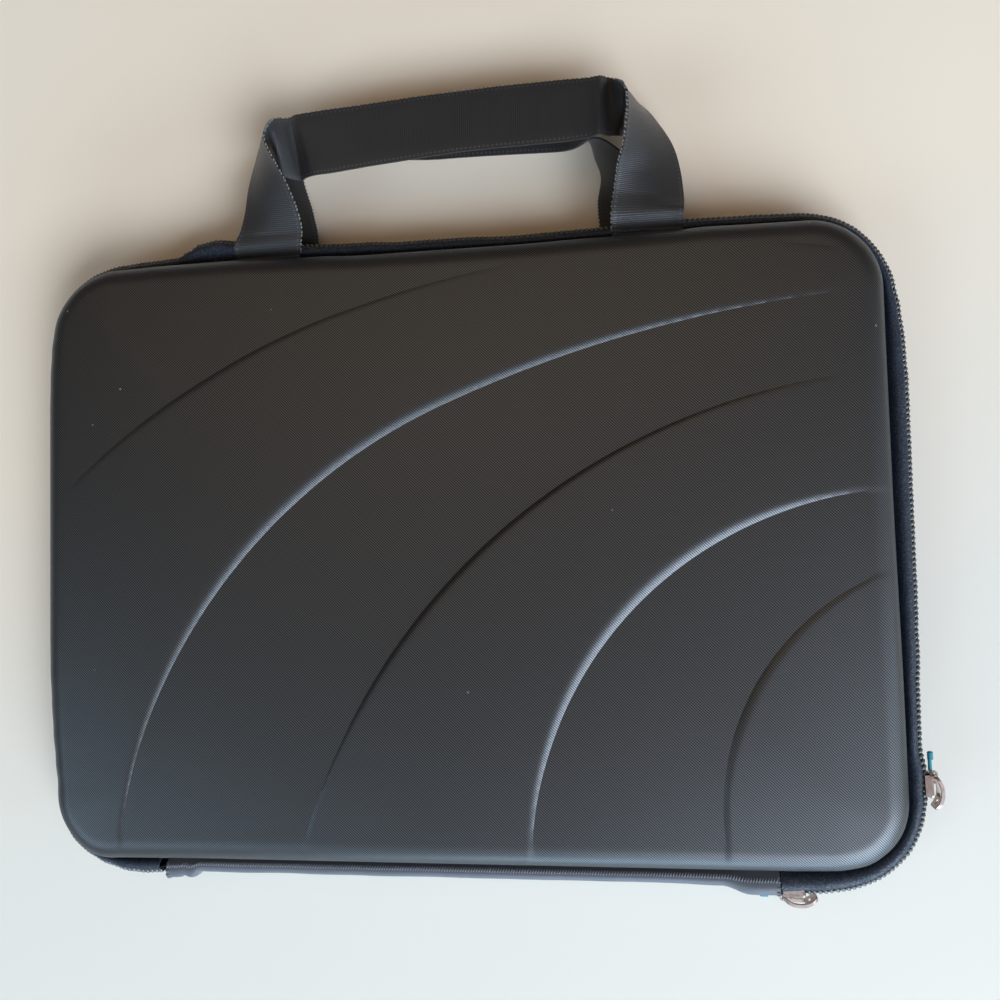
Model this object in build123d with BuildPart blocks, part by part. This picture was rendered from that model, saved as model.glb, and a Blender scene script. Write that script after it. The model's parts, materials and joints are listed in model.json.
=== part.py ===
"""Moulded laptop case: two EVA shells, a three-sided zip, a fabric spine and ribbon handles.

Lengths are millimetres. The case lies shut on its base: X runs along the spine,
Y runs from the spine to the handles, Z runs up through the thickness.
"""

import os
from math import radians, sqrt, tan

from build123d import *

os.makedirs("parts", exist_ok=True)

# Shells
case_length = 340.0
case_depth = 246.0
case_thickness = 34.0
corner_radius = 28.0
edge_radius = 9.0
wall = 4.0
draft = 5.0
rim_gap = 5.9
bond = 0.05
mid_height = case_thickness / 2
lid_rim = mid_height + rim_gap
shell_height = case_thickness - lid_rim
half_length = case_length / 2
half_depth = case_depth / 2

# Moulded steps on the lid: the slope of each step, seen from above
step_slope = 3.6

# Lining and rim binding
skin = 0.8
lining_start = 2.3
binding_drop = 2.3
binding_rise = 5.6

# Zip, measured outwards from the shell's cut edge and upwards from the closing plane
tape = 0.8
tape_bend = 5.0
tape_level = 4.0
tape_leg = 2.1
coil_inner = 5.9
coil_outer = 7.7
coil_near = 0.8
coil_far = 2.4
zip_end = half_length - 46.5
corner_split = 43.0 - half_depth
spine_split = 3.5 - half_depth

# Fabric spine
spine_half = zip_end - 0.5
spine_cloth = 1.0
spine_axis_out = 1.0
spine_axis_rise = 4.9
spine_out = 5.6
seam_gap = 0.35

# Sliders, along the chain and outwards from the cut edge
slider_a_x = zip_end + 4.3
slider_b_y = 32.2 - half_depth
slider_length = 8.8
slider_head = 4.5
slider_tail = 3.6
plate = 0.9
plate_out = coil_outer + seam_gap
neck_half = 0.5

# Pullers
pivot_along = -3.4
pivot_radius = 0.5
pivot_out = plate_out + plate + 0.45 + pivot_radius
puller_reach = 8.4
puller_half = 4.0
puller_bow = 2.4
puller_plate = 1.1
puller_eye = 8.1

# Ribbon handles
ribbon = 27.0
ribbon_cloth = 1.0
fold_gap = 0.4
handle_half = 76.5
front_handle_x = 4.5
back_handle_x = 1.0
handle_axis_y = half_depth + 1.9
handle_rise = 5.25
handle_top = half_depth + 62.0

# Corner straps in the base and mesh pocket in the lid
strap_inner = 214.0
strap_width = 18.0
strap_cloth = 1.0
strap_level = 10.7
cavity_inset = 6.15
pocket_half = half_length - 32.0
pocket_low = 12.0 - half_depth
pocket_high = 42.0
pocket_level = 23.6
pocket_top = case_thickness - wall - bond - skin - 0.1
mesh = 0.5

names = []


def keep(builder, name):
    """Label a finished piece and write it to its own file."""
    builder.part.label = name
    export_step(builder.part, f"parts/{name}.step")
    names.append(name)


def mirrored(part):
    """The same piece on the other side of the closing plane."""
    with BuildPart() as twin:
        add(part)
        mirror(about=Plane.XY.offset(mid_height), mode=Mode.REPLACE)
    return twin


def trimmed(part, low, high, mode):
    """A piece cut by a box: what the box holds, or what it leaves."""
    size = [b - a for a, b in zip(low, high)]
    middle = [(a + b) / 2 for a, b in zip(low, high)]
    with BuildPart() as cut:
        add(part)
        with Locations(tuple(middle)):
            Box(*size, mode=mode)
    return cut


# ---------------------------------------------------------------- shells and lining


def tray(inset, thickness, start=0.0):
    """Open tray inside the lid's outer form, set in all round and trimmed at its mouth."""
    with BuildPart() as form:
        with BuildSketch(Plane.XY.offset(lid_rim)):
            RectangleRounded(
                case_length - 2 * inset, case_depth - 2 * inset, corner_radius - inset
            )
        extrude(amount=shell_height - inset, taper=draft)
        fillet(form.faces().sort_by(Axis.Z)[-1].edges(), edge_radius - inset)
        offset(amount=-thickness, openings=form.faces().sort_by(Axis.Z)[0])
        if start > 0:
            split(bisect_by=Plane.XY.offset(lid_rim + start), keep=Keep.TOP)
    return form


def scoop(lower_edge, depth, deepest, runs_out):
    """Cutter for a lowered field of the lid, with sloped steps, that runs out at two sides."""
    grow = step_slope * 2 / 2
    with BuildPart() as cutter:
        with BuildSketch(Plane.XY.offset(case_thickness - depth)) as floor:
            with BuildLine():
                lower_edge()
            make_face()
        with BuildSketch(Plane.XY.offset(case_thickness + depth)):
            with BuildLine():
                lower_edge()
            make_face()
            offset(amount=grow, kind=Kind.INTERSECTION)
        loft()
        for turn, at, run in ((0, deepest[1], runs_out[1]), (90, deepest[0], runs_out[0])):
            bow = (run - at) ** 2 / (2 * depth)
            centre = (0, at) if turn == 0 else (at, 0)
            with Locations((*centre, case_thickness - depth + bow)):
                Cylinder(
                    bow, 2 * case_length, rotation=(0, 90, 0) if turn == 0 else (90, 0, 0),
                    mode=Mode.INTERSECT,
                )
    return cutter


def outer_field():
    """Corner field outside the first moulded arc."""
    arc = CenterArc((80.9, -252.6), 367.8 + step_slope / 2, 92, 46)
    Polyline(arc @ 1, (-185, 40), (-185, 140), (arc @ 0) + (0, 20), arc @ 0)


def middle_field():
    """Field between the second and the third moulded arc."""
    first = ThreePointArc((-137.5, -122.0), (-103.0, -28.6), (-52.9, 28.0))
    second = TangentArc(first @ 1, (180.0, 94.5), tangent=first % 1)
    third = CenterArc((177.8, -183.4), 243.7 + step_slope / 2, 89.5, 75)
    Line(second @ 1, third @ 0)
    Line(third @ 1, first @ 0)


def inner_field():
    """Field between the fourth and the fifth moulded arc."""
    fourth = CenterArc((173.2, -123.3), 143.4 - step_slope / 2, 88, 92)
    fifth = CenterArc((196.3, -99.9), 91.8 + step_slope / 2, 98, 92)
    Line(fourth @ 0, fifth @ 0)
    Line(fourth @ 1, fifth @ 1)


with BuildPart() as lid_shell:
    add(tray(0, wall).part)
    add(scoop(outer_field, 1.2, (20, -20), (-162, 118)).part, mode=Mode.SUBTRACT)
    add(scoop(middle_field, 1.0, (0, 40), (165, -113)).part, mode=Mode.SUBTRACT)
    add(scoop(inner_field, 1.1, (60, 0), (166, -114)).part, mode=Mode.SUBTRACT)
keep(lid_shell, "lid_shell")
base_shell = mirrored(tray(0, wall).part)
keep(base_shell, "base_shell")

lid_lining = tray(wall + bond, skin, lining_start)
keep(lid_lining, "lid_lining")
base_lining = mirrored(lid_lining.part)
keep(base_lining, "base_lining")

binding_inset = wall + 2 * bond + skin + bond
with BuildPart() as lid_binding:
    for inset, mode in ((binding_inset, Mode.ADD), (binding_inset + skin, Mode.SUBTRACT)):
        with BuildSketch(Plane.XY.offset(lid_rim - binding_drop)):
            RectangleRounded(
                case_length - 2 * inset, case_depth - 2 * inset, corner_radius - inset
            )
        extrude(amount=binding_rise, taper=draft, mode=mode)
keep(lid_binding, "lid_binding")
base_binding = mirrored(lid_binding.part)
keep(base_binding, "base_binding")

# ---------------------------------------------------------------- zip tape and coils


def along_zip(outline):
    """Section swept round the three zipped sides, from the right spine end to the left."""
    with BuildPart() as strip:
        with BuildLine(Plane.XY.offset(mid_height)) as path:
            start = Line((zip_end, -half_depth), (half_length - corner_radius, -half_depth))
            turn = JernArc(start @ 1, start % 1, corner_radius, 90)
            side = Line(turn @ 1, (half_length, half_depth - corner_radius))
            turn = JernArc(side @ 1, side % 1, corner_radius, 90)
            side = Line(turn @ 1, (corner_radius - half_length, half_depth))
            turn = JernArc(side @ 1, side % 1, corner_radius, 90)
            side = Line(turn @ 1, (-half_length, corner_radius - half_depth))
            turn = JernArc(side @ 1, side % 1, corner_radius, 90)
            Line(turn @ 1, (-zip_end, -half_depth))
        with BuildSketch(Plane((zip_end, -half_depth, mid_height), (0, -1, 0), (-1, 0, 0))):
            with BuildLine():
                Polyline(*outline, close=True)
            make_face()
        sweep(path=path.wire())
    return strip


leg_out = -wall - bond
leg_lean = tape_leg * tan(radians(draft))
tape_top = tape_level + tape / 2
tape_under = tape_level - tape / 2
lid_zip_run = along_zip(
    [
        (leg_out - leg_lean, rim_gap + tape_leg),
        (leg_out, rim_gap),
        (leg_out, tape_top),
        (tape_bend, tape_top),
        (tape_bend + tape, tape_top - 0.8),
        (tape_bend + tape, coil_near + 0.1),
        (tape_bend, coil_near + 0.1),
        (tape_bend, tape_under - 0.4),
        (tape_bend - 0.4, tape_under),
        (leg_out - tape + 0.4, tape_under),
        (leg_out - tape, tape_under + 0.4),
        (leg_out - tape, rim_gap),
        (leg_out - tape - leg_lean, rim_gap + tape_leg),
    ]
)
lid_coil_run = along_zip(
    [
        (coil_inner, coil_near),
        (coil_outer - 0.5, coil_near),
        (coil_outer, coil_near + 0.5),
        (coil_outer, coil_far - 0.5),
        (coil_outer - 0.5, coil_far),
        (coil_inner, coil_far),
    ]
)
reach = case_length
left_end = ((-reach, -reach, 0), (0, spine_split, reach))
spine_end = ((0, -reach, 0), (reach, spine_split, reach))
corner_end = ((0, -reach, 0), (reach, corner_split, reach))
for side, right_end in (("base", spine_end), ("lid", corner_end)):
    for run, kind in ((lid_zip_run, "zip_tape"), (lid_coil_run, "zip_coil")):
        whole = run if side == "lid" else mirrored(run.part)
        rest = trimmed(whole.part, *right_end, Mode.SUBTRACT)
        keep(trimmed(rest.part, *left_end, Mode.SUBTRACT), f"{side}_{kind}")
        keep(trimmed(whole.part, *right_end, Mode.INTERSECT), f"{side}_{kind}_end_right")
        keep(trimmed(whole.part, *left_end, Mode.INTERSECT), f"{side}_{kind}_end_left")

# ---------------------------------------------------------------- fabric spine

spine_plane = Plane((spine_half, -half_depth, mid_height), (0, -1, 0), (-1, 0, 0))
spine_span = 2 * spine_half
with BuildPart() as spine_strip:
    with BuildSketch(spine_plane):
        with Locations((spine_axis_out, 0)):
            outer = 2 * (spine_out - spine_axis_out)
            height = 2 * spine_axis_rise + spine_cloth
            RectangleRounded(outer, height, 3.2)
            inner = (outer - 2 * spine_cloth, height - 2 * spine_cloth)
            RectangleRounded(*inner, 3.2 - spine_cloth, mode=Mode.SUBTRACT)
        with Locations((spine_axis_out, 0)):
            Rectangle(outer, height, align=(Align.MAX, Align.CENTER), mode=Mode.SUBTRACT)
        with Locations((spine_axis_out, spine_axis_rise), (spine_axis_out, -spine_axis_rise)):
            Circle(spine_cloth / 2)
    extrude(amount=spine_span)
keep(spine_strip, "spine_strip")

flap_end = spine_axis_out - spine_cloth / 2 - seam_gap
with BuildPart() as lid_spine_flap:
    with BuildSketch(spine_plane):
        with BuildLine():
            Polyline(
                (leg_out - leg_lean, rim_gap + tape_leg),
                (leg_out, rim_gap),
                (leg_out, spine_axis_rise + tape / 2),
                (flap_end, spine_axis_rise + tape / 2),
                (flap_end, spine_axis_rise - tape / 2),
                (leg_out - tape + 0.4, spine_axis_rise - tape / 2),
                (leg_out - tape, spine_axis_rise),
                (leg_out - tape, rim_gap),
                (leg_out - tape - leg_lean, rim_gap + tape_leg),
                close=True,
            )
        make_face()
    extrude(amount=spine_span)
keep(lid_spine_flap, "lid_spine_flap")
keep(mirrored(lid_spine_flap.part), "base_spine_flap")

# ---------------------------------------------------------------- ribbon handles


def handle(middle_x):
    """Ribbon loop that leaves the rim, folds forward at 45 degrees and crosses at the top."""
    with BuildPart() as loop:
        near = handle_half - ribbon / 2
        far = handle_half + ribbon / 2
        low = handle_top - ribbon
        leg_under = mid_height + handle_rise - ribbon_cloth / 2
        band_under = leg_under - ribbon_cloth - fold_gap
        for hand in (1, -1):
            corners = [
                (middle_x + hand * along, y)
                for along, y in (
                    (near, handle_axis_y), (far, handle_axis_y), (far, low), (near, handle_top)
                )
            ]
            with BuildSketch(Plane.XY.offset(leg_under)):
                with BuildLine():
                    Polyline(*corners, close=True)
                make_face()
            extrude(amount=ribbon_cloth)
            out = (hand / sqrt(2), 1 / sqrt(2), 0)
            down = (hand / sqrt(2), -1 / sqrt(2), 0)
            start = (middle_x + hand * near, handle_top, leg_under - fold_gap / 2)
            with BuildSketch(Plane(start, out, down)):
                Circle(ribbon_cloth + fold_gap / 2)
                Circle(fold_gap / 2, mode=Mode.SUBTRACT)
                Rectangle(3, 3, align=(Align.MAX, Align.CENTER), mode=Mode.SUBTRACT)
            extrude(amount=ribbon * sqrt(2))
            root = (middle_x + hand * near, handle_axis_y, mid_height + handle_rise)
            with BuildSketch(Plane(root, (0, 1, 0), (hand, 0, 0))):
                Circle(ribbon_cloth / 2)
            extrude(amount=ribbon)
        with BuildSketch(Plane.XY.offset(band_under)):
            with BuildLine():
                Polyline(
                    (middle_x - far, low), (middle_x + far, low),
                    (middle_x + near, handle_top), (middle_x - near, handle_top),
                    close=True,
                )
            make_face()
        extrude(amount=ribbon_cloth)
    return loop


def handle_roots(middle_x):
    """The two ribbon ends held between the cut edge and the tape."""
    root_end = handle_axis_y - ribbon_cloth / 2 - seam_gap
    with BuildPart() as roots:
        with BuildSketch(Plane.XY.offset(mid_height + handle_rise - ribbon_cloth / 2)):
            with Locations((middle_x - handle_half, root_end), (middle_x + handle_half, root_end)):
                Rectangle(ribbon, root_end - half_depth + wall - 0.3, align=(Align.CENTER, Align.MAX))
        extrude(amount=ribbon_cloth)
    return roots


keep(handle(front_handle_x), "front_handle")
keep(handle_roots(front_handle_x), "front_handle_roots")
keep(mirrored(handle(back_handle_x).part), "back_handle")
keep(mirrored(handle_roots(back_handle_x).part), "back_handle_roots")

# ---------------------------------------------------------------- zip sliders


def slider(centre, along, out):
    """Slider seen with its chain along the first direction and its crown on the outside."""
    side = Plane(centre, along, tuple(Vector(*along).cross(Vector(*out))))
    face = Plane(centre, along, out)
    half = slider_length / 2
    inner_out = tape_bend - seam_gap - plate
    with BuildPart() as body:
        with BuildSketch(face.offset(plate_out)):
            with BuildLine():
                Polyline(
                    (-half, -slider_tail), (half, -slider_head), (half, slider_head),
                    (-half, slider_tail), close=True,
                )
            make_face()
            fillet(vertices(), 1.1)
        extrude(amount=plate)
        with BuildSketch(face.offset(inner_out)):
            RectangleRounded(slider_length, 2 * tape_under - 0.9, 0.9)
        extrude(amount=plate)
        for hand in (1, -1):
            with BuildSketch(face.offset(tape_bend + tape + seam_gap)):
                with BuildLine():
                    Polyline(
                        (-half + 0.6, hand * slider_tail),
                        (half - 0.6, hand * (slider_head - 0.1)),
                        (half - 0.6, hand * (slider_head - 0.9)),
                        (-half + 0.6, hand * (slider_tail - 0.75)),
                        close=True,
                    )
                make_face()
            extrude(amount=plate_out - tape_bend - tape - seam_gap)
        with BuildSketch(face.offset(inner_out)):
            with Locations((half - 1.6, 0)):
                SlotOverall(2.6, 2 * neck_half)
        extrude(amount=plate_out - inner_out)
        with BuildSketch(side):
            with Locations((pivot_along, pivot_out)):
                RectangleRounded(2.9, 2.9, 0.9)
                RectangleRounded(1.7, 1.7, 0.5, mode=Mode.SUBTRACT)
            with Locations((pivot_along + 1.5, plate_out + plate)):
                Triangle(c=2.2, b=2.2, A=60, align=(Align.MIN, Align.MIN))
        extrude(amount=0.8, both=True)
    return body


def puller(centre, along, out):
    """Bowed pull with a long eye, hung on its end bar."""
    side = Plane(centre, along, tuple(Vector(*along).cross(Vector(*out))))
    face = Plane(centre, along, out)
    reach_s = puller_reach - pivot_along
    middle = (puller_reach + pivot_along) / 2
    with BuildPart() as pull:
        with BuildSketch(side):
            with BuildLine():
                bow = ThreePointArc(
                    (pivot_along, pivot_out), (middle, pivot_out + puller_bow),
                    (puller_reach, pivot_out),
                )
                offset(bow, amount=puller_plate / 2, side=Side.BOTH)
            make_face()
        extrude(amount=puller_half, both=True)
        with BuildSketch(face.offset(plate_out)):
            with Locations((middle, 0)):
                RectangleRounded(reach_s + 2 * pivot_radius, 2 * puller_half, 2.2)
            with Locations((pivot_along - 2, 0)):
                RectangleRounded(
                    puller_eye + 2, 4.6, 1.0, align=(Align.MIN, Align.CENTER), mode=Mode.SUBTRACT
                )
            with Locations((puller_reach - 1.9, 0)):
                Circle(1.0, mode=Mode.SUBTRACT)
        extrude(amount=8, mode=Mode.INTERSECT)
        with BuildSketch(side.offset(-puller_half + 0.8)):
            with Locations((pivot_along, pivot_out)):
                Circle(pivot_radius)
        extrude(amount=2 * puller_half - 1.6)
    return pull


def cord(centre, along, out):
    """Short cord tied to the slider's tail, ending in a knot."""
    start = -slider_length / 2 - 0.6
    with BuildPart() as tied:
        with BuildSketch(Plane(centre, out, along).offset(start)):
            with Locations((plate_out + 0.85, 0)):
                Circle(0.7)
        extrude(amount=-4.0)
        with BuildSketch(Plane(centre, out, along).offset(start - 4.0)):
            with Locations((plate_out + 1.1, 0)):
                Circle(1.05)
        extrude(amount=-3.0)
        fillet(tied.faces().sort_by(Axis(centre, along))[0].edges(), 0.6)
    return tied


slider_places = {
    "a": ((slider_a_x, -half_depth, mid_height), (1, 0, 0), (0, -1, 0)),
    "b": ((half_length, slider_b_y, mid_height), (0, -1, 0), (1, 0, 0)),
}
for mark, place in slider_places.items():
    keep(slider(*place), f"slider_{mark}")
    keep(puller(*place), f"puller_{mark}")
    keep(cord(*place), f"pull_cord_{mark}")

# ---------------------------------------------------------------- straps and pocket


def corner_strap(sign_x, sign_y):
    """Elastic band across one corner of the base."""
    outer = strap_inner + strap_width * sqrt(2)
    band = [(strap_inner, 0), (outer, 0), (0, outer), (0, strap_inner)]
    with BuildPart() as strap:
        with BuildSketch(Plane.XY.offset(strap_level - strap_cloth / 2)):
            with BuildLine():
                Polyline(*[(sign_x * x, sign_y * y) for x, y in band], close=True)
            make_face()
            RectangleRounded(
                case_length - 2 * cavity_inset, case_depth - 2 * cavity_inset,
                corner_radius - cavity_inset, mode=Mode.INTERSECT,
            )
        extrude(amount=strap_cloth)
    return strap


for sign_x, hand in ((1, "right"), (-1, "left")):
    keep(corner_strap(sign_x, 1), f"strap_front_{hand}")
    keep(corner_strap(sign_x, -1), f"strap_spine_{hand}")

with BuildPart() as mesh_pocket:
    with BuildSketch(Plane.XY.offset(pocket_level)) as outline:
        with Locations((0, pocket_low)):
            Rectangle(2 * pocket_half, pocket_high - pocket_low, align=(Align.CENTER, Align.MIN))
        fillet(outline.vertices().group_by(Axis.Y)[0], 14)
    extrude(amount=pocket_top - pocket_level)
    openings = mesh_pocket.faces().sort_by(Axis.Z)[-1:] + mesh_pocket.faces().sort_by(Axis.Y)[-1:]
    offset(amount=-mesh, openings=openings)
keep(mesh_pocket, "mesh_pocket")

with BuildPart() as pocket_hem:
    with BuildSketch(Plane((-pocket_half, pocket_high + 1.6, pocket_level + mesh / 2), (0, 1, 0), (1, 0, 0))):
        SlotOverall(3.0, 1.4)
    extrude(amount=2 * pocket_half)
keep(pocket_hem, "pocket_hem")
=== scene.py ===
"""Dressed laptop case: cloth pressed over two foam shells, zip, fabric spine and ribbon handles.

Every piece is modelled in metres in the part's own frame. X runs along the spine, Y runs
from the spine to the handles and Z runs up through the thickness of the shut case. Sizes
in the classes are millimetres.
"""

import json
import logging
import math
from dataclasses import dataclass
from enum import Enum
from typing import Callable, Mapping, Optional, Sequence, Union

import bmesh
import bpy
from mathutils import Matrix, Vector, noise

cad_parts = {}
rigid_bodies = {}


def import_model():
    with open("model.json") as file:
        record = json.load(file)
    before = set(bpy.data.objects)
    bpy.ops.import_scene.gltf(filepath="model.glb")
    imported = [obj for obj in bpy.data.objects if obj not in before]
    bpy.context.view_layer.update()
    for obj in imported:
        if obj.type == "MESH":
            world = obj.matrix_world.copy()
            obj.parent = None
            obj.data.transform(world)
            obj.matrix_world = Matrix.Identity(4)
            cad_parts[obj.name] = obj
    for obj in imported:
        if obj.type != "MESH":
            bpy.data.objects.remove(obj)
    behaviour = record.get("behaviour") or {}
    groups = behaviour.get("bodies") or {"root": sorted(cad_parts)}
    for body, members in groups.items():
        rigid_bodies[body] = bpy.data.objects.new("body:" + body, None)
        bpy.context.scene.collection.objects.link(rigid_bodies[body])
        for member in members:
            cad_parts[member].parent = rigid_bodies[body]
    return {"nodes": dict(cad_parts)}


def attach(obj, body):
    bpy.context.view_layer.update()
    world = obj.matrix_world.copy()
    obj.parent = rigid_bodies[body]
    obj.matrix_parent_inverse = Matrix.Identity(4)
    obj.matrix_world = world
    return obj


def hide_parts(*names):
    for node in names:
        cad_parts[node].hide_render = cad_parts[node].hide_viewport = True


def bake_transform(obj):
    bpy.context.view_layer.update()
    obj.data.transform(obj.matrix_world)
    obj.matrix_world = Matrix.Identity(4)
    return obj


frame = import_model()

LOG = logging.getLogger("laptop_case")
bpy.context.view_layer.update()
MM = 0.001
QUARTER_TURN = math.pi / 2
FULL_TURN = 2 * math.pi

Piece = bpy.types.Object
Material = bpy.types.Material
Materials = Mapping[str, Material]
Node = bpy.types.Node
Socket = bpy.types.NodeSocket
Mesh = bmesh.types.BMesh
Numbers = Sequence[float]
Stops = tuple[tuple[float, float], ...]
Colour = tuple[float, float, float, float]
Place = Callable[[float, float], Vector]


class Half(Enum):
    """The two shells, with the sign of their side of the closing plane."""

    LID = 1
    BASE = -1

    @property
    def body(self) -> str:
        """Name of the moving body that carries this half."""
        return "lid" if self is Half.LID else "base"

    @property
    def up(self) -> Vector:
        """Direction from the closing plane out through this half."""
        return Vector((0, 0, self.value))

    def height(self, rise: float) -> float:
        """Z of a level given as its distance from the closing plane."""
        return CASE.middle + self.value * rise


@dataclass(frozen=True)
class CaseSizes:
    """Sizes that the sub-assemblies share, in millimetres and radians."""

    half_length: float = 170.0
    half_depth: float = 123.0
    corner: float = 28.0
    half_thickness: float = 17.0
    middle: float = 17.0
    rim_gap: float = 5.9
    edge_radius: float = 9.0
    wall: float = 4.0
    draft: float = math.radians(5.0)
    zip_end: float = 123.5
    spine_half: float = 123.0

    @property
    def inset(self) -> float:
        """How far the outline of the level top lies inside the rim's outline."""
        height = self.half_thickness - self.rim_gap
        return height * math.tan(self.draft) + self.edge_radius * math.tan((QUARTER_TURN - self.draft) / 2)


CASE = CaseSizes()


# ---------------------------------------------------------------- working by hand


class Bench:
    """Edit operators on one piece at a time, with nothing else selected."""

    @staticmethod
    def hold(piece: Optional[Piece] = None) -> None:
        """Leaves edit mode and makes one piece, or none, the only selected one.

        Args:
            piece: the piece to hold.
        """
        objects = bpy.context.view_layer.objects
        if objects.active is not None and objects.active.mode != "OBJECT":
            bpy.ops.object.mode_set(mode="OBJECT")
        bpy.ops.object.select_all(action="DESELECT")
        if piece is not None:
            piece.select_set(True)
            objects.active = piece

    @staticmethod
    def named(name: str) -> Piece:
        """Names the active piece and sets its place into its mesh.

        Args:
            name: its new name.

        Returns:
            The piece.
        """
        piece = bpy.context.view_layer.objects.active
        piece.name = piece.data.name = name
        Bench.hold(piece)
        bpy.ops.object.transform_apply(location=True, rotation=True, scale=True)
        return piece

    @staticmethod
    def grid(
        name: str, cells: tuple[int, int], size: float, stretch: Numbers = (1.0, 1.0), height: float = 0.0
    ) -> Piece:
        """Adds a flat grid round the middle, in metres unless it is reshaped later.

        Args:
            name: name of the grid.
            cells: cells in X and in Y.
            size: length of its sides before the stretch.
            stretch: factors in X and in Y.
            height: its Z.

        Returns:
            The grid, with its place in its mesh.
        """
        Bench.hold()
        bpy.ops.mesh.primitive_grid_add(
            x_subdivisions=cells[0], y_subdivisions=cells[1], size=size, location=(0, 0, height)
        )
        bpy.context.view_layer.objects.active.scale = (*stretch, 1.0)
        return Bench.named(name)

    @staticmethod
    def apply(piece: Piece, kind: str, **settings: object) -> None:
        """Adds one modifier with its settings and applies it.

        Args:
            piece: the piece to change.
            kind: the modifier's type name.
            **settings: the modifier's own values.
        """
        Bench.hold(piece)
        modifier = piece.modifiers.new(kind.lower(), kind)
        for key, value in settings.items():
            setattr(modifier, key, value)
        bpy.ops.object.modifier_apply(modifier=modifier.name)

    @staticmethod
    def smooth(piece: Piece, degrees: float) -> None:
        """Shades a piece smooth, with edges sharper than an angle kept."""
        Bench.hold(piece)
        bpy.ops.object.shade_smooth_by_angle(angle=math.radians(degrees), keep_sharp_edges=True)

    @staticmethod
    def face_outwards(piece: Piece, close: bool = False) -> None:
        """Turns every face outwards, with the open ends closed first where that is asked.

        Args:
            piece: the piece to change.
            close: closes the open ends.
        """
        Bench.hold(piece)
        bpy.ops.object.mode_set(mode="EDIT")
        if close:
            bpy.ops.mesh.select_all(action="DESELECT")
            bpy.ops.mesh.select_non_manifold()
            bpy.ops.mesh.edge_face_add()
        bpy.ops.mesh.select_all(action="SELECT")
        bpy.ops.mesh.normals_make_consistent(inside=False)
        bpy.ops.object.mode_set(mode="OBJECT")

    @staticmethod
    def cloth(
        name: str, cells: tuple[int, int], size: tuple[float, float], place: Place, thickness: float
    ) -> Piece:
        """Lays a flat grid along a run and gives it the thickness of a cloth.

        Args:
            name: name of the piece.
            cells: cells across the cloth and along it.
            size: width and length of the flat cloth, for its weave.
            place: point in millimetres for a share across and a share along.
            thickness: thickness of the cloth, or 0 for a single layer.

        Returns:
            The finished cloth, with its flat size as its UV map.
        """
        piece = Bench.grid(name, cells, 1.0)
        for vertex in piece.data.vertices:
            vertex.co = place(vertex.co.x + 0.5, vertex.co.y + 0.5) * MM
        for loop in piece.data.uv_layers.active.data:
            loop.uv = (loop.uv[0] * size[0] * MM, loop.uv[1] * size[1] * MM)
        if thickness > 0:
            Bench.apply(
                piece, "SOLIDIFY", thickness=thickness * MM, offset=0.0,
                use_even_offset=False, use_quality_normals=True,
            )
        Bench.smooth(piece, 50.0)
        return piece

    @staticmethod
    def band(
        name: str, section: Stops, cells: tuple[int, int], size: tuple[float, float],
        spot: Callable[[Vector, float, float], Vector], thickness: float,
    ) -> Piece:
        """Lays a cloth whose cross-section follows a given line.

        Args:
            name: name of the piece.
            section: outward distance and rise of the cross-section's points.
            cells: cells across the cloth and along it.
            size: width and length of the flat cloth.
            spot: point for a section point, a share across and a share along.
            thickness: thickness of the cloth.

        Returns:
            The finished cloth.
        """
        line = smooth_line(section, cells[0])

        def place(across: float, along: float) -> Vector:
            """A point of the cloth."""
            return spot(line[round(across * cells[0])], across, along)

        return Bench.cloth(name, cells, size, place, thickness)

    @staticmethod
    def rod(name: str, points: Sequence[Numbers], radii: Numbers, sides: int = 5) -> Piece:
        """Bends a thin closed rod along a few points.

        Args:
            name: name of the piece.
            points: points of the middle line, in millimetres.
            radii: radius at each point.
            sides: sides of the rod.

        Returns:
            The closed rod.
        """
        Bench.hold()
        bpy.ops.mesh.primitive_circle_add(vertices=sides, radius=1.0, fill_type="NGON")
        piece = Bench.named(name)
        bpy.ops.object.mode_set(mode="EDIT")
        bpy.ops.mesh.select_all(action="SELECT")
        for _ in points[1:]:
            bpy.ops.mesh.extrude_region_move(TRANSFORM_OT_translate={"value": (0, 0, 1)})
        bpy.ops.object.mode_set(mode="OBJECT")
        line = [Vector(point) for point in points]
        axes = Bench.axes(line)
        for vertex in piece.data.vertices:
            level = round(vertex.co.z)
            across, up = axes[level]
            vertex.co = (line[level] + (across * vertex.co.x + up * vertex.co.y) * radii[level]) * MM
        Bench.face_outwards(piece)
        return piece

    @staticmethod
    def axes(line: Sequence[Vector]) -> list[tuple[Vector, Vector]]:
        """Two directions square to a line at each of its points, without twist.

        Args:
            line: points of the line.

        Returns:
            The two directions at each point.
        """
        result: list[tuple[Vector, Vector]] = []
        across = Vector((0.31, 0.17, 0.93))
        for index in range(len(line)):
            ahead = (line[min(index + 1, len(line) - 1)] - line[max(index - 1, 0)]).normalized()
            across = (across - ahead * across.dot(ahead)).normalized()
            result.append((across, ahead.cross(across)))
        return result

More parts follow.
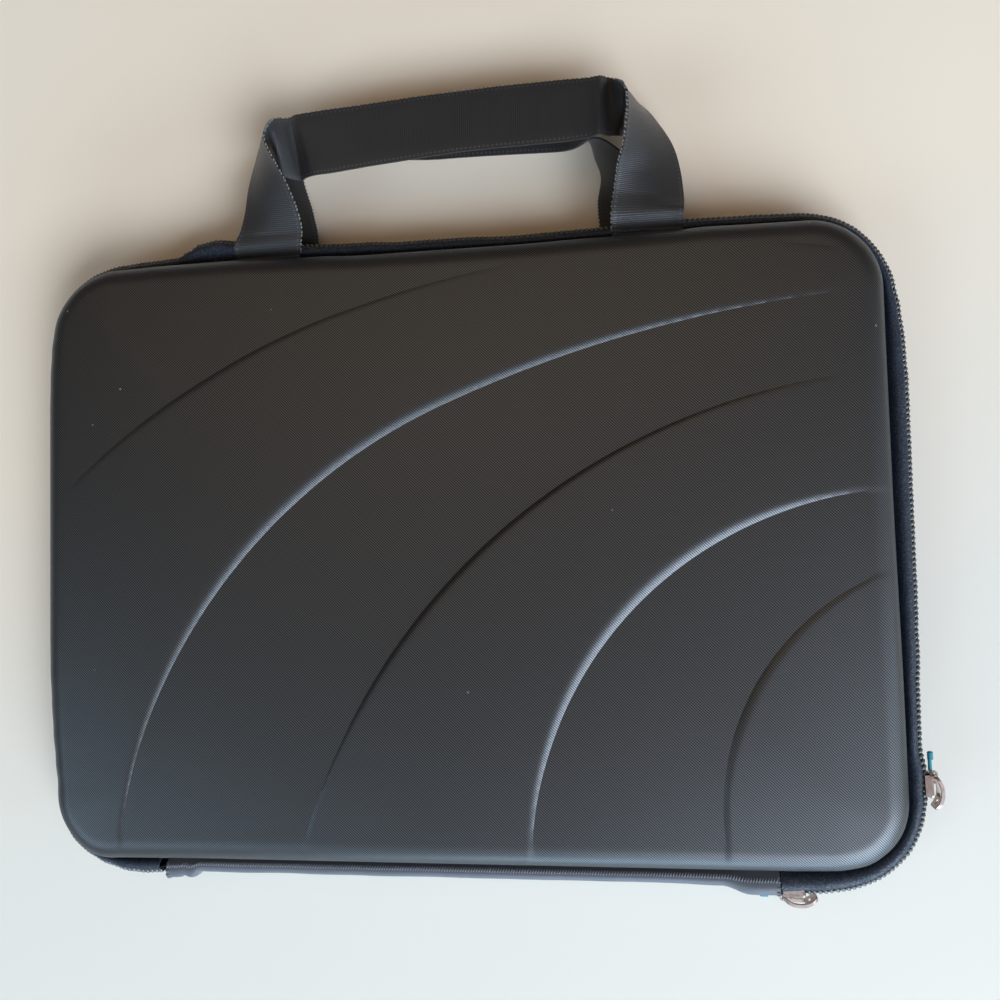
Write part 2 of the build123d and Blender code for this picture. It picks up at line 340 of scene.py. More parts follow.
    @staticmethod
    def copies(name: str, pattern: Piece, places: Sequence[Matrix]) -> Piece:
        """Repeats one small pattern piece at many places in one mesh, and removes the pattern.

        Args:
            name: name of the finished piece.
            pattern: the piece to repeat.
            places: one matrix for each copy, in metres.

        Returns:
            The piece that holds every copy.
        """
        points = [vertex.co.copy() for vertex in pattern.data.vertices]
        faces = [tuple(face.vertices) for face in pattern.data.polygons]
        all_points: list[Vector] = []
        all_faces: list[tuple[int, ...]] = []
        for matrix in places:
            first = len(all_points)
            all_points.extend(matrix @ point for point in points)
            all_faces.extend(tuple(corner + first for corner in face) for face in faces)
        mesh = bpy.data.meshes.new(name)
        mesh.from_pydata(all_points, [], all_faces)
        mesh.update()
        piece = bpy.data.objects.new(name, mesh)
        bpy.context.scene.collection.objects.link(piece)
        bpy.data.objects.remove(pattern)
        Bench.smooth(piece, 60.0)
        return piece


def seat(x_axis: Vector, y_axis: Vector, z_axis: Vector, spot: Vector) -> Matrix:
    """Matrix that turns a pattern onto three directions and moves it to a spot in millimetres.

    Args:
        x_axis: where the pattern's X turns.
        y_axis: where its Y turns.
        z_axis: where its Z turns.
        spot: where its origin goes.

    Returns:
        The matrix, in metres.
    """
    matrix = Matrix((x_axis, y_axis, z_axis)).transposed().to_4x4()
    matrix.translation = spot * MM
    return matrix


def finish_piece(
    piece: Piece, material: Material, nodes: Sequence[str] = (), body: Optional[str] = None
) -> None:
    """Gives a piece its material, the nodes it stands for and the body it rides on.

    Args:
        piece: the finished mesh.
        material: its finish.
        nodes: the solids that it stands for.
        body: the body that carries it, unless it bends across a joint.
    """
    piece.data.materials.clear()
    piece.data.materials.append(material)
    if nodes:
        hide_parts(*nodes)
    if body is not None:
        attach(piece, body)
    LOG.info("%s: %d faces on %s", piece.name, len(piece.data.polygons), body or "two bodies")


# ---------------------------------------------------------------- lines and numbers


def spline(knots: Sequence[Vector], pieces: int) -> list[Vector]:
    """Points on a smooth curve through all knots but the first and the last.

    Args:
        knots: points that shape the curve.
        pieces: points from one knot to the next.

    Returns:
        The points.
    """
    fine: list[Vector] = []
    for a, b, c, d in zip(knots, knots[1:], knots[2:], knots[3:]):
        for step in range(pieces):
            t = step / pieces
            fine.append(
                0.5 * (2 * b + (c - a) * t + (2 * a - 5 * b + 4 * c - d) * t * t
                       + (3 * b - a - 3 * c + d) * t ** 3)
            )
    return fine + [knots[-2]]


def even_steps(
    fine: Sequence[Vector], samples: int, gap: Callable[[Vector, Vector], float]
) -> tuple[list[Vector], float]:
    """Walks a line in even steps.

    Args:
        fine: close points of the line.
        samples: how many even steps the result has.
        gap: distance between two neighbouring points.

    Returns:
        samples + 1 points, and the length of the line.
    """
    reach = [0.0]
    for a, b in zip(fine, fine[1:]):
        reach.append(reach[-1] + gap(a, b))
    result: list[Vector] = []
    index = 0
    for step in range(samples + 1):
        goal = reach[-1] * step / samples
        while index < len(fine) - 2 and reach[index + 1] < goal:
            index += 1
        share = (goal - reach[index]) / max(reach[index + 1] - reach[index], 1e-9)
        result.append(fine[index].lerp(fine[index + 1], min(max(share, 0.0), 1.0)))
    return result, reach[-1]


def smooth_line(points: Sequence[Numbers], samples: int) -> list[Vector]:
    """Even points on a smooth curve that passes through the given ones.

    Args:
        points: points to pass through.
        samples: how many even steps the result has.

    Returns:
        samples + 1 points.
    """
    knots = [Vector(point) for point in points]
    knots = [knots[0] * 2 - knots[1]] + knots + [knots[-1] * 2 - knots[-2]]
    return even_steps(spline(knots, 12), samples, lambda a, b: (b - a).length)[0]


def drift(x: float, y: float = 0.0, z: float = 0.0) -> float:
    """Slow hand-made unevenness between -1 and 1."""
    return noise.noise(Vector((x, y, z)))


def ease(value: float, start: float, end: float) -> float:
    """Smooth step from 0 at start to 1 at end."""
    t = min(max((value - start) / (end - start), 0.0), 1.0)
    return t * t * (3 - 2 * t)


def along_stops(stops: Stops, place: float) -> float:
    """Reads a value at a place between given stops, smoothly.

    Args:
        stops: place and value of each stop.
        place: where to read.

    Returns:
        The value there.
    """
    if place <= stops[0][0]:
        return stops[0][1]
    for (at, value), (after, following) in zip(stops, stops[1:]):
        if place <= after:
            return value + (following - value) * ease(place, at, after)
    return stops[-1][1]


@dataclass(frozen=True)
class Rim:
    """Rounded outline of the cut edge, walked from the spine's right end round to its left."""

    start: float = CASE.zip_end

    @property
    def runs(self) -> list[float]:
        """Lengths of the straight runs and the corners between them.

        Returns:
            Nine lengths, of which every second one is a corner.
        """
        turn = CASE.corner * QUARTER_TURN
        end = CASE.half_length - CASE.corner - self.start
        side = 2 * (CASE.half_depth - CASE.corner)
        front = 2 * (CASE.half_length - CASE.corner)
        return [end, turn, side, turn, front, turn, side, turn, end]

    @property
    def length(self) -> float:
        """Length of the whole edge."""
        return sum(self.runs)

    def at(self, distance: float) -> tuple[Vector, Vector, Vector]:
        """Point, outward direction and forward direction at a distance along the edge, all level.

        Args:
            distance: how far along the cut edge.

        Returns:
            The point and the two unit directions.
        """
        inner_x, inner_y = CASE.half_length - CASE.corner, CASE.half_depth - CASE.corner
        centres = ((inner_x, -inner_y), (inner_x, inner_y), (-inner_x, inner_y), (-inner_x, -inner_y))
        starts = (
            (self.start, -CASE.half_depth), (CASE.half_length, -inner_y), (inner_x, CASE.half_depth),
            (-CASE.half_length, inner_y), (-inner_x, -CASE.half_depth),
        )
        left = min(max(distance, 0.0), self.length)
        runs = self.runs
        index = 0
        while left > runs[index] and index < len(runs) - 1:
            left -= runs[index]
            index += 1
        quarter, turning = divmod(index, 2)
        angle = (quarter - 1) * QUARTER_TURN + turning * left / CASE.corner
        outward = Vector((math.cos(angle), math.sin(angle), 0))
        forward = Vector((-outward.y, outward.x, 0))
        if turning:
            return Vector((*centres[quarter], 0)) + outward * CASE.corner, outward, forward
        return Vector((*starts[quarter], 0)) + forward * left, outward, forward


# ---------------------------------------------------------------- finishes


class Graph:
    """Adds and joins the nodes of one material, room or node group."""

    def __init__(self, tree: bpy.types.NodeTree) -> None:
        """Starts on an empty tree."""
        self.tree = tree
        tree.nodes.clear()

    def feed(self, node: Node, inputs: Mapping[Union[int, str], object]) -> None:
        """Joins inputs of a node to sockets, or sets their values.

        Args:
            node: the node to feed.
            inputs: socket or value for each input, by name or number.
        """
        for key, value in inputs.items():
            if isinstance(value, Socket):
                self.tree.links.new(value, node.inputs[key])
            else:
                node.inputs[key].default_value = value

    def add(self, kind: str, inputs: Optional[Mapping] = None, **settings: object) -> Node:
        """Adds a shader node of one kind, sets its options and feeds its inputs.

        Args:
            kind: the node's type, without its prefix.
            inputs: socket or value for each input.
            **settings: the node's own options.

        Returns:
            The node.
        """
        node = self.tree.nodes.new(f"ShaderNode{kind}")
        for key, value in settings.items():
            setattr(node, key, value)
        self.feed(node, inputs or {})
        return node

    def math(self, operation: str, *values: object) -> Socket:
        """Adds a math node on up to three values and gives its result."""
        return self.add("Math", dict(enumerate(values)), operation=operation).outputs[0]

    def times(self, a: object, b: object, plus: object = 0.0) -> Socket:
        """Multiplies two values and adds a third one."""
        return self.math("MULTIPLY_ADD", a, b, plus)

    def sine(self, value: Socket, factor: float) -> Socket:
        """Sine of a value times a factor."""
        return self.math("SINE", self.times(value, factor))

    def split(self, value: Socket) -> Sequence[Socket]:
        """The three parts of a vector."""
        return self.add("SeparateXYZ", {0: value}).outputs

    def mix(self, share: Socket, a: object, b: object) -> Socket:
        """Mixes two colours by a share."""
        return self.add("Mix", {0: share, 6: a, 7: b}, data_type="RGBA").outputs[2]

    def span(self, value: Socket, low: float, high: float, start: float = 0.0, end: float = 1.0) -> Socket:
        """Maps a range of values onto another one, clamped."""
        return self.add("MapRange", dict(enumerate((value, low, high, start, end))), clamp=True).outputs[0]

    def noise(self, where: Socket, scale: float, detail: float, rough: float = 0.5) -> Socket:
        """Adds a noise texture and gives its value."""
        inputs = {"Vector": where, "Scale": scale, "Detail": detail, "Roughness": rough}
        return self.add("TexNoise", inputs).outputs[0]

    def cells(self, where: Socket, scale: float, feature: str, uneven: float = 1.0) -> Mapping[str, Socket]:
        """Adds a cell texture and gives its outputs."""
        inputs = {"Vector": where, "Scale": scale, "Randomness": uneven}
        return self.add("TexVoronoi", inputs, feature=feature).outputs

    def bump(self, height: Socket, relief: float) -> Socket:
        """Normal of a surface with a relief in millimetres."""
        return self.add("Bump", {"Strength": 1.0, "Distance": relief * MM, "Height": height}).outputs[0]


def begin_material(name: str) -> tuple[Material, Graph]:
    """A new material and its empty graph.

    Args:
        name: name of the material.

    Returns:
        The material and its graph.
    """
    material = bpy.data.materials.new(name)
    material.use_nodes = True
    return material, Graph(material.node_tree)


def make_group(
    name: str, numbers: Sequence[str], outputs: Sequence[str], fill: Callable[..., Sequence[Socket]]
) -> bpy.types.NodeTree:
    """Builds a node group that reads a place and some numbers and gives values.

    Args:
        name: name of the group.
        numbers: names of the number inputs that follow the place.
        outputs: names of the value outputs.
        fill: adds the nodes and gives the socket of each output.

    Returns:
        The finished group.
    """
    tree = bpy.data.node_groups.new(name, "ShaderNodeTree")
    graph = Graph(tree)
    tree.interface.new_socket(name="Vector", in_out="INPUT", socket_type="NodeSocketVector")
    for direction, labels in (("INPUT", numbers), ("OUTPUT", outputs)):
        for label in labels:
            tree.interface.new_socket(name=label, in_out=direction, socket_type="NodeSocketFloat")
    entries = tree.nodes.new("NodeGroupInput").outputs[: 1 + len(numbers)]
    graph.feed(tree.nodes.new("NodeGroupOutput"), dict(zip(outputs, fill(graph, *entries))))
    return tree


def fill_twill(graph: Graph, where: Socket, pitch: Socket) -> Sequence[Socket]:
    """Slanted ribs broken into single floats of yarn.

    Args:
        graph: graph that the nodes are added to.
        where: place on the cloth.
        pitch: distance from rib to rib.

    Returns:
        Mask and height of the ribs.
    """
    x, y, _ = graph.split(where)
    turn = graph.math("DIVIDE", graph.math("ADD", x, y), pitch)
    turn = graph.times(graph.noise(where, 40.0, 2.0), 0.4, turn)
    rib = graph.times(graph.sine(turn, FULL_TURN), 0.5, 0.5)
    along = graph.times(graph.math("DIVIDE", x, pitch), 1.7)
    float_turn = graph.times(graph.math("FLOOR", turn), 0.37, along)
    breaks = graph.times(graph.sine(float_turn, FULL_TURN), 0.035, 0.965)
    return graph.times(rib, breaks), graph.times(graph.math("POWER", rib, 0.7), breaks)


def fill_ribs(graph: Graph, where: Socket, pitch: Socket) -> Sequence[Socket]:
    """Fine ribs across a ribbon, crossed by its warp yarns.

    Args:
        graph: graph that the nodes are added to.
        where: place on the cloth.
        pitch: distance from rib to rib.

    Returns:
        Mask and height of the ribs.
    """
    across, along, _ = [graph.math("DIVIDE", part, pitch) for part in graph.split(where)]
    rib = graph.math("ABSOLUTE", graph.sine(along, math.pi))
    yarn = graph.math("ABSOLUTE", graph.sine(across, math.pi * 1.6))
    return (
        graph.times(yarn, 0.35, graph.times(rib, 0.65)),
        graph.times(rib, 0.7, graph.times(yarn, 0.3)),
    )


def fill_flecks(graph: Graph, where: Socket) -> Sequence[Socket]:
    """Scattered specks of dust and a slow uneven mottle.

    Args:
        graph: graph that the nodes are added to.
        where: place on the cloth.

    Returns:
        Masks of the specks and of the mottle.
    """
    cells = graph.cells(where, 90.0, "F1")
    near = graph.span(cells["Distance"], 0.02, 0.045, 1.0, 0.0)
    chosen = graph.add("SeparateColor", {0: cells["Color"]}).outputs[0]
    few = graph.math("GREATER_THAN", chosen, 0.72)
    return graph.times(near, few), graph.span(graph.noise(where, 14.0, 4.0, 0.6), 0.3, 0.7)


TWILL = make_group("twill_weave", ["Pitch"], ["Rib", "Height"], fill_twill)
RIBS = make_group("ribbon_weave", ["Pitch"], ["Rib", "Height"], fill_ribs)
FLECKS = make_group("dust_and_mottle", [], ["Specks", "Mottle"], fill_flecks)


class Weave(Enum):
    """Which woven surface a cloth finish shows."""

    TWILL = "twill"
    RIBBED = "ribbed"
    KNITTED = "knitted"
    FLEECE = "fleece"
    NET = "net"


@dataclass(frozen=True)
class ClothFinish:
    """A woven finish on the piece's own UV map, with its yarn, shine and wear."""

    name: str
    weave: Weave
    yarn: Colour
    ground: Colour
    pitch: float = 1.3
    relief: float = 0.12
    roughness: float = 0.5
    rib_gloss: float = 0.12
    specular: float = 0.5
    gloss_colour: Colour = (1.0, 1.0, 1.0, 1.0)
    cloth_width: float = 0.0
    selvedge_colour: Colour = (0.07, 0.062, 0.056, 1.0)
    glint: float = 0.0
    glint_floor: float = 0.0
    glint_roughness: float = 0.4
    glint_ior: float = 1.6
    sheen: float = 0.0
    sheen_roughness: float = 0.4
    sheen_colour: Colour = (0.8, 0.85, 1.0, 1.0)
    dust: float = 0.0
    dust_colour: Colour = (0.35, 0.33, 0.3, 1.0)

    def build(self) -> Material:
        """Builds the material of this finish.

        Returns:
            The finished material.
        """
        material, graph = begin_material(self.name)
        where = graph.add("TexCoord").outputs
        rib, height = self._weave(graph, where["UV"])
        flecks = graph.add("Group", {"Vector": where["Object"]}, node_tree=FLECKS).outputs
        tone = graph.times(flecks["Mottle"], 0.25, graph.times(rib, 0.75))
        colour = graph.mix(tone, self.ground, self.yarn)
        if self.cloth_width > 0:
            colour = graph.mix(self._stitched(graph, where["UV"]), colour, self.selvedge_colour)
        if self.dust > 0:
            colour = graph.mix(graph.times(flecks["Specks"], self.dust), colour, self.dust_colour)
        rough = graph.times(rib, -self.rib_gloss, self.roughness + self.rib_gloss / 2)
        shader = graph.add("BsdfPrincipled", {
            "Base Color": colour, "Roughness": graph.times(flecks["Mottle"], 0.05, rough),
            "Normal": graph.bump(height, self.relief),
            "Specular IOR Level": self.specular, "Specular Tint": self.gloss_colour,
            "Coat Roughness": self.glint_roughness, "Coat IOR": self.glint_ior,
            "Sheen Weight": self.sheen, "Sheen Roughness": self.sheen_roughness,
            "Sheen Tint": self.sheen_colour,
        })
        if self.glint > 0:
            on_ribs = graph.span(rib, 0.25, 0.85, self.glint * self.glint_floor, self.glint)
            graph.feed(shader, {"Coat Weight": on_ribs})
        if self.weave is Weave.NET:
            graph.feed(shader, {"Alpha": graph.math("SUBTRACT", 1.0, graph.math("LESS_THAN", rib, 0.32))})
        graph.add("OutputMaterial", {"Surface": shader.outputs[0]})
        return material

    def _weave(self, graph: Graph, where: Socket) -> Sequence[Socket]:
        """Mask and height of the weave at a place on the cloth.

        Args:
            graph: graph that the nodes are added to.
            where: place on the cloth.

        Returns:
            The mask and the height.
        """
        pitch = self.pitch * MM
        if self.weave in (Weave.TWILL, Weave.RIBBED):
            group = TWILL if self.weave is Weave.TWILL else RIBS
            woven = graph.add("Group", {"Vector": where, "Pitch": pitch}, node_tree=group).outputs
            return woven["Rib"], woven["Height"]
        if self.weave is Weave.NET:
            cells = graph.cells(where, 1 / pitch, "DISTANCE_TO_EDGE", 0.25)
            return (graph.span(cells["Distance"], 0.06, 0.22, 1.0, 0.0),) * 2
        if self.weave is Weave.KNITTED:
            cells = graph.cells(where, 1 / pitch, "SMOOTH_F1", 0.6)
            loops = graph.span(cells["Distance"], 0.1, 0.7, 1.0, 0.0)
            fuzz = graph.span(graph.noise(where, 2200.0, 2.0), 0.35, 0.65, 0.45, 1.0)
            return graph.times(loops, fuzz), loops
        return (graph.span(graph.noise(where, 900.0, 5.0, 0.7), 0.3, 0.7),) * 2

    def _stitched(self, graph: Graph, where: Socket) -> Socket:
        """1 on the running stitch beside each edge of a ribbon, 0 elsewhere.

        Args:
            graph: graph that the nodes are added to.
            where: place on the cloth.

        Returns:
            The mask.
        """
        from_edge, stitch = 1.2 * MM, 1.8 * MM
        across, along, _ = graph.split(where)
        half_width = self.cloth_width * MM / 2
        middle = graph.math("ABSOLUTE", graph.math("SUBTRACT", across, half_width))
        inside = graph.math("SUBTRACT", half_width, middle)
        near = graph.math("ABSOLUTE", graph.math("SUBTRACT", inside, from_edge))
        dashes = graph.span(graph.sine(along, FULL_TURN / stitch), -0.2, 0.4)
        return graph.times(graph.span(near, 0.25 * MM, 0.5 * MM, 1.0, 0.0), dashes)


@dataclass(frozen=True)
class HardFinish:
    """Plated metal or moulded nylon with a fine grain and a cloudy worn tone."""

    name: str
    colour: Colour
    worn: Colour
    metallic: float
    roughness: float
    relief: float = 0.02
    specular: float = 0.5

    def build(self) -> Material:
        """Builds the material of this finish.

        Returns:
            The finished material.
        """
        material, graph = begin_material(self.name)
        where = graph.add("TexCoord").outputs["Object"]
        cloudy = graph.span(graph.noise(where, 420.0, 4.0, 0.6), 0.35, 0.65)
        fine = graph.noise(where, 3500.0, 2.0)
        shader = graph.add("BsdfPrincipled", {
            "Base Color": graph.mix(cloudy, self.colour, self.worn),
            "Roughness": graph.times(cloudy, 0.12, graph.times(fine, 0.08, self.roughness - 0.08)),
            "Metallic": self.metallic, "Specular IOR Level": self.specular,
            "Normal": graph.bump(fine, self.relief),
        })
        graph.add("OutputMaterial", {"Surface": shader.outputs[0]})
        return material


def greys(first: float, second: float, tint: Numbers = (1.0, 1.0, 1.0)) -> tuple[Colour, Colour]:
    """Two greys of one tint."""
    return tuple((value * tint[0], value * tint[1], value * tint[2], 1.0) for value in (first, second))


FINISHES: dict[str, Union[ClothFinish, HardFinish]] = {
    "shell": ClothFinish(
        "shell_twill_cloth", Weave.TWILL, *greys(0.01, 0.004, (1.0, 0.65, 0.35)), pitch=1.08, relief=0.05,
        roughness=0.6, rib_gloss=0.1, specular=0.15, gloss_colour=(0.8, 0.9, 1.0, 1.0), glint=0.88,
        glint_floor=0.24, glint_roughness=0.42, glint_ior=2.3, sheen=0.1, sheen_roughness=0.35,
        sheen_colour=(0.35, 0.62, 1.0, 1.0), dust=0.8,
    ),
    "lining": ClothFinish(
        "lining_fleece_cloth", Weave.FLEECE, *greys(0.13, 0.07), relief=0.2, roughness=0.85, sheen=0.25
    ),
    "binding": ClothFinish(
        "binding_ribbed_cloth", Weave.RIBBED, *greys(0.05, 0.02), pitch=1.0, relief=0.12, roughness=0.6
    ),
    "tape": ClothFinish(
        "zip_tape_cloth", Weave.KNITTED, *greys(0.04, 0.008, (0.5, 0.85, 1.5)), pitch=0.75, relief=0.1,
        roughness=0.55, rib_gloss=0.1, glint=0.8, glint_roughness=0.5, glint_ior=1.6,
    ),
    # The coil's light warm grey is partly black nylon and partly painted highlight on the tops of the turns.
    "coil": HardFinish("zip_coil_nylon_painted_highlight", *greys(0.09, 0.12, (1.0, 0.98, 0.9)), 0.0, 0.3, 0.01, 0.8),
    # The core's near black is partly the cord's own colour and partly painted shade in the gaps between the
    # coil's turns.
    "core": ClothFinish(
        "zip_core_cord_painted_shade", Weave.FLEECE, *greys(0.012, 0.006, (0.8, 0.95, 1.25)), relief=0.05, roughness=0.5,
        specular=0.4,
    ),
    "spine": ClothFinish(
        "spine_ribbon_cloth", Weave.RIBBED, (0.133, 0.1358, 0.1512, 1.0), (0.0837, 0.0882, 0.099, 1.0),
        pitch=0.5, relief=0.03, roughness=0.42, rib_gloss=0.1, sheen=0.1,
    ),
    "ribbon": ClothFinish(
        "handle_ribbon_cloth", Weave.RIBBED, *greys(0.04, 0.018, (1.0, 0.92, 0.88)), pitch=0.85, relief=0.1,
        roughness=0.36, rib_gloss=0.12, specular=0.42, sheen=0.05, cloth_width=27.4, dust=0.3,
    ),
    "metal": HardFinish("slider_plated_metal", (0.42, 0.31, 0.26, 1.0), (0.5, 0.4, 0.35, 1.0), 1.0, 0.45),
    "tie": ClothFinish(
        "tie_thread", Weave.RIBBED, (0.08, 0.5, 0.55, 1.0), (0.02, 0.2, 0.25, 1.0), pitch=0.5, relief=0.08
    ),
    "elastic": ClothFinish(
        "elastic_ribbed_cloth", Weave.RIBBED, *greys(0.05, 0.02), pitch=1.4, relief=0.2, roughness=0.6
    ),
    "net": ClothFinish("pocket_net", Weave.NET, *greys(0.04, 0.03), pitch=2.6, relief=0.3, roughness=0.6),
    "light_thread": ClothFinish(
        "light_stitch_thread", Weave.FLEECE, *greys(0.33, 0.2, (0.92, 0.97, 1.08)), relief=0.05,
        roughness=0.45,
    ),
    "dark_thread": ClothFinish(
        "selvedge_thread", Weave.FLEECE, *greys(0.26, 0.1, (1.0, 0.88, 0.76)), relief=0.05, roughness=0.5
    ),
}


# ---------------------------------------------------------------- shells

# Place along a side, and how far the moulded side stands inside its nominal outline there.
DRAWN_LEFT: Stops = (
    (-123.0, 3.4), (-108.0, 4.4), (-92.0, 4.5), (-82.0, 3.5), (-70.0, 2.5), (-58.0, 1.8), (-45.0, 1.2),
    (-30.0, 1.05), (62.0, 1.05), (76.0, 1.3), (88.0, 1.9), (98.0, 3.0), (110.0, 3.4), (123.0, 3.4),
)
DRAWN_RIGHT: Stops = ((-123.0, 0.7), (-60.0, 0.7), (20.0, 1.3), (100.0, 1.3), (123.0, 1.1))
DRAWN_BOTTOM: Stops = (
    (-170.0, 0.3), (-152.0, 0.9), (-136.0, 1.5), (-100.0, 1.8), (125.0, 1.9), (147.0, 2.3), (158.0, 1.4),
    (168.0, 0.6),
)
DRAWN_TOP: Stops = (
    (-168.0, 2.2), (-150.0, 2.3), (-139.0, 1.6), (-115.0, 1.1), (-90.0, 0.9), (-54.0, 1.8), (-30.0, 2.7),
    (30.0, 2.9), (66.0, 2.4), (90.0, 1.9), (105.0, 1.3), (122.0, 1.6), (142.0, 1.8), (168.0, 1.6),
)

# Inset from the rim's outline and rise above the rim's gap, from the wall round the rim to the inside.
RIM_TURN: Stops = (
    (0.04, 0.7), (0.12, 0.3), (0.32, 0.06), (0.62, 0.0), (3.5, 0.0), (3.85, 0.12), (4.02, 0.45), (4.25, 3.0),
)

# Inset and depth under the inner ceiling, where the inside of the wall turns into it.
INSIDE_CORNER: Stops = ((5.4, 1.2), (9.4, 0.0))


def drawn_in(x: float, y: float) -> Vector:
    """How far the moulded sides stand inside their nominal outline, as a shift at a point.

    Args:
        x: place along the spine.
        y: place from the spine to the handles.

    Returns:
        The shift, without a rise.
    """
    side = DRAWN_RIGHT if x > 0 else DRAWN_LEFT
    end = DRAWN_TOP if y > 0 else DRAWN_BOTTOM
    return Vector((
        -math.copysign(ease(abs(x), 118.0, 164.0) * along_stops(side, y), x),
        -math.copysign(ease(abs(y), 74.0, 117.0) * along_stops(end, x), y), 0.0,
    ))


@dataclass(frozen=True)
class StepLine:
    """Moulded line of one or two arcs, with the low ground on its inner or outer side."""

    arcs: tuple[tuple[float, float, float], ...]
    low_inside: bool
    spread: float = 4.0
    joint: Optional[tuple[float, float, float, float]] = None

    def arc_at(self, x: float, y: float) -> tuple[float, float, float]:
        """Centre and radius of the arc that counts at a point.

        Args:
            x: place along the spine.
            y: place from the spine to the handles.

        Returns:
            The arc.
        """
        if self.joint is None:
            return self.arcs[0]
        joint_x, joint_y, ahead_x, ahead_y = self.joint
        return self.arcs[1] if (x - joint_x) * ahead_x + (y - joint_y) * ahead_y > 0 else self.arcs[0]

    def climb(self, x: float, y: float) -> float:
        """How far a point lies up the raised side of the crease, negative on the low side.

        Args:
            x: place along the spine.
            y: place from the spine to the handles.

        Returns:
            The distance from the crease.
        """
        centre_x, centre_y, radius = self.arc_at(x, y)
        beyond = math.hypot(x - centre_x, y - centre_y) - radius
        return beyond if self.low_inside else -beyond

    def onto(self, x: float, y: float) -> tuple[float, float]:
        """Nearest point of the crease.

        Args:
            x: place along the spine.
            y: place from the spine to the handles.

        Returns:
            Its place.
        """
        centre_x, centre_y, radius = self.arc_at(x, y)
        far = math.hypot(x - centre_x, y - centre_y)
        return centre_x + (x - centre_x) * radius / far, centre_y + (y - centre_y) * radius / far


@dataclass(frozen=True)
class LoweredField:
    """Lowered ground of the lid between two moulded lines, which runs out at two sides."""

    depth: float
    deepest: tuple[float, float]
    runs_out: tuple[float, float]
    lines: tuple[StepLine, ...]
    thinnest: float = 0.01
    steepness: float = 1.9

    def full_depth(self, x: float, y: float) -> float:
        """Depth of the ground at a point, if it lies inside the field.

        Args:
            x: place along the spine.
            y: place from the spine to the handles.

        Returns:
            The depth, or 0 outside the field.
        """
        shares = [
            ((value - at) / (run - at)) ** 2 if (value - at) * (run - at) > 0 else 0.0
            for value, at, run in zip((x, y), self.deepest, self.runs_out)
        ]
        return self.depth * max(0.0, 1.0 - max(shares))

    def drop(self, x: float, y: float) -> float:
        """How far the surface lies under the raised ground at a point.

        Args:
            x: place along the spine.
            y: place from the spine to the handles.

        Returns:
            The drop, or 0 on the raised ground.
        """
        depth = self.full_depth(x, y)
        if depth <= self.thinnest:
            return 0.0
        for line in self.lines:
            share = line.climb(x, y) / (line.spread * depth)
            if share >= 1:
                return 0.0
            if share > 0:
                return depth * (1 - share) ** self.steepness
        return depth


def tangent_circle(
    joint: tuple[float, float], centre: tuple[float, float], end: tuple[float, float]
) -> tuple[float, float, float]:
    """Centre and radius of the circle that continues an arc from its joint to an end point.

    Args:
        joint: where the two arcs meet.
        centre: centre of the first arc.
        end: where the second arc ends.

    Returns:
        The circle of the second arc.
    """
    inward = Vector((centre[0] - joint[0], centre[1] - joint[1])).normalized()
    chord = Vector((end[0] - joint[0], end[1] - joint[1]))
    radius = chord.length_squared / (2 * chord.dot(inward))
    return joint[0] + inward.x * radius, joint[1] + inward.y * radius, radius


def lid_fields() -> tuple[LoweredField, ...]:
    """The three lowered fields of the lid.

    Returns:
        The fields, from the spine side on the left to the handles on the right.
    """
    first, joint = (86.7, -153.3, 226.65), (0.8, 56.4)
    second = tangent_circle(joint, first[:2], (137.0, 90.9))
    ahead = (joint[1] - first[1], first[0] - joint[0])
    return (
        LoweredField(1.2, (20.0, -20.0), (-162.0, 118.0), (StepLine(((80.9, -252.6, 369.6),), False),)),
        LoweredField(1.5, (-60.0, 40.0), (156.0, -124.0), (
            StepLine((first, second), True, 3.1, (*joint, *ahead)),
            StepLine(((177.8, -183.4, 245.5),), False, 2.2),
        )),
        LoweredField(1.3, (60.0, 0.0), (166.0, -125.0), (
            StepLine(((173.2, -123.3, 141.6),), True, 3.7),
            StepLine(((196.3, -99.9, 93.6),), False, 3.0),
        )),
    )


def lay_flat(mesh: Mesh, spots: Mapping[bmesh.types.BMVert, Vector]) -> None:
    """Writes the place of each vertex on the flat cloth into the UV map.

    Args:
        mesh: the open mesh.
        spots: place of each vertex on the cloth.
    """
    uv = mesh.loops.layers.uv.active
    for vertex, spot in spots.items():
        for loop in vertex.link_loops:
            loop[uv].uv = spot * MM


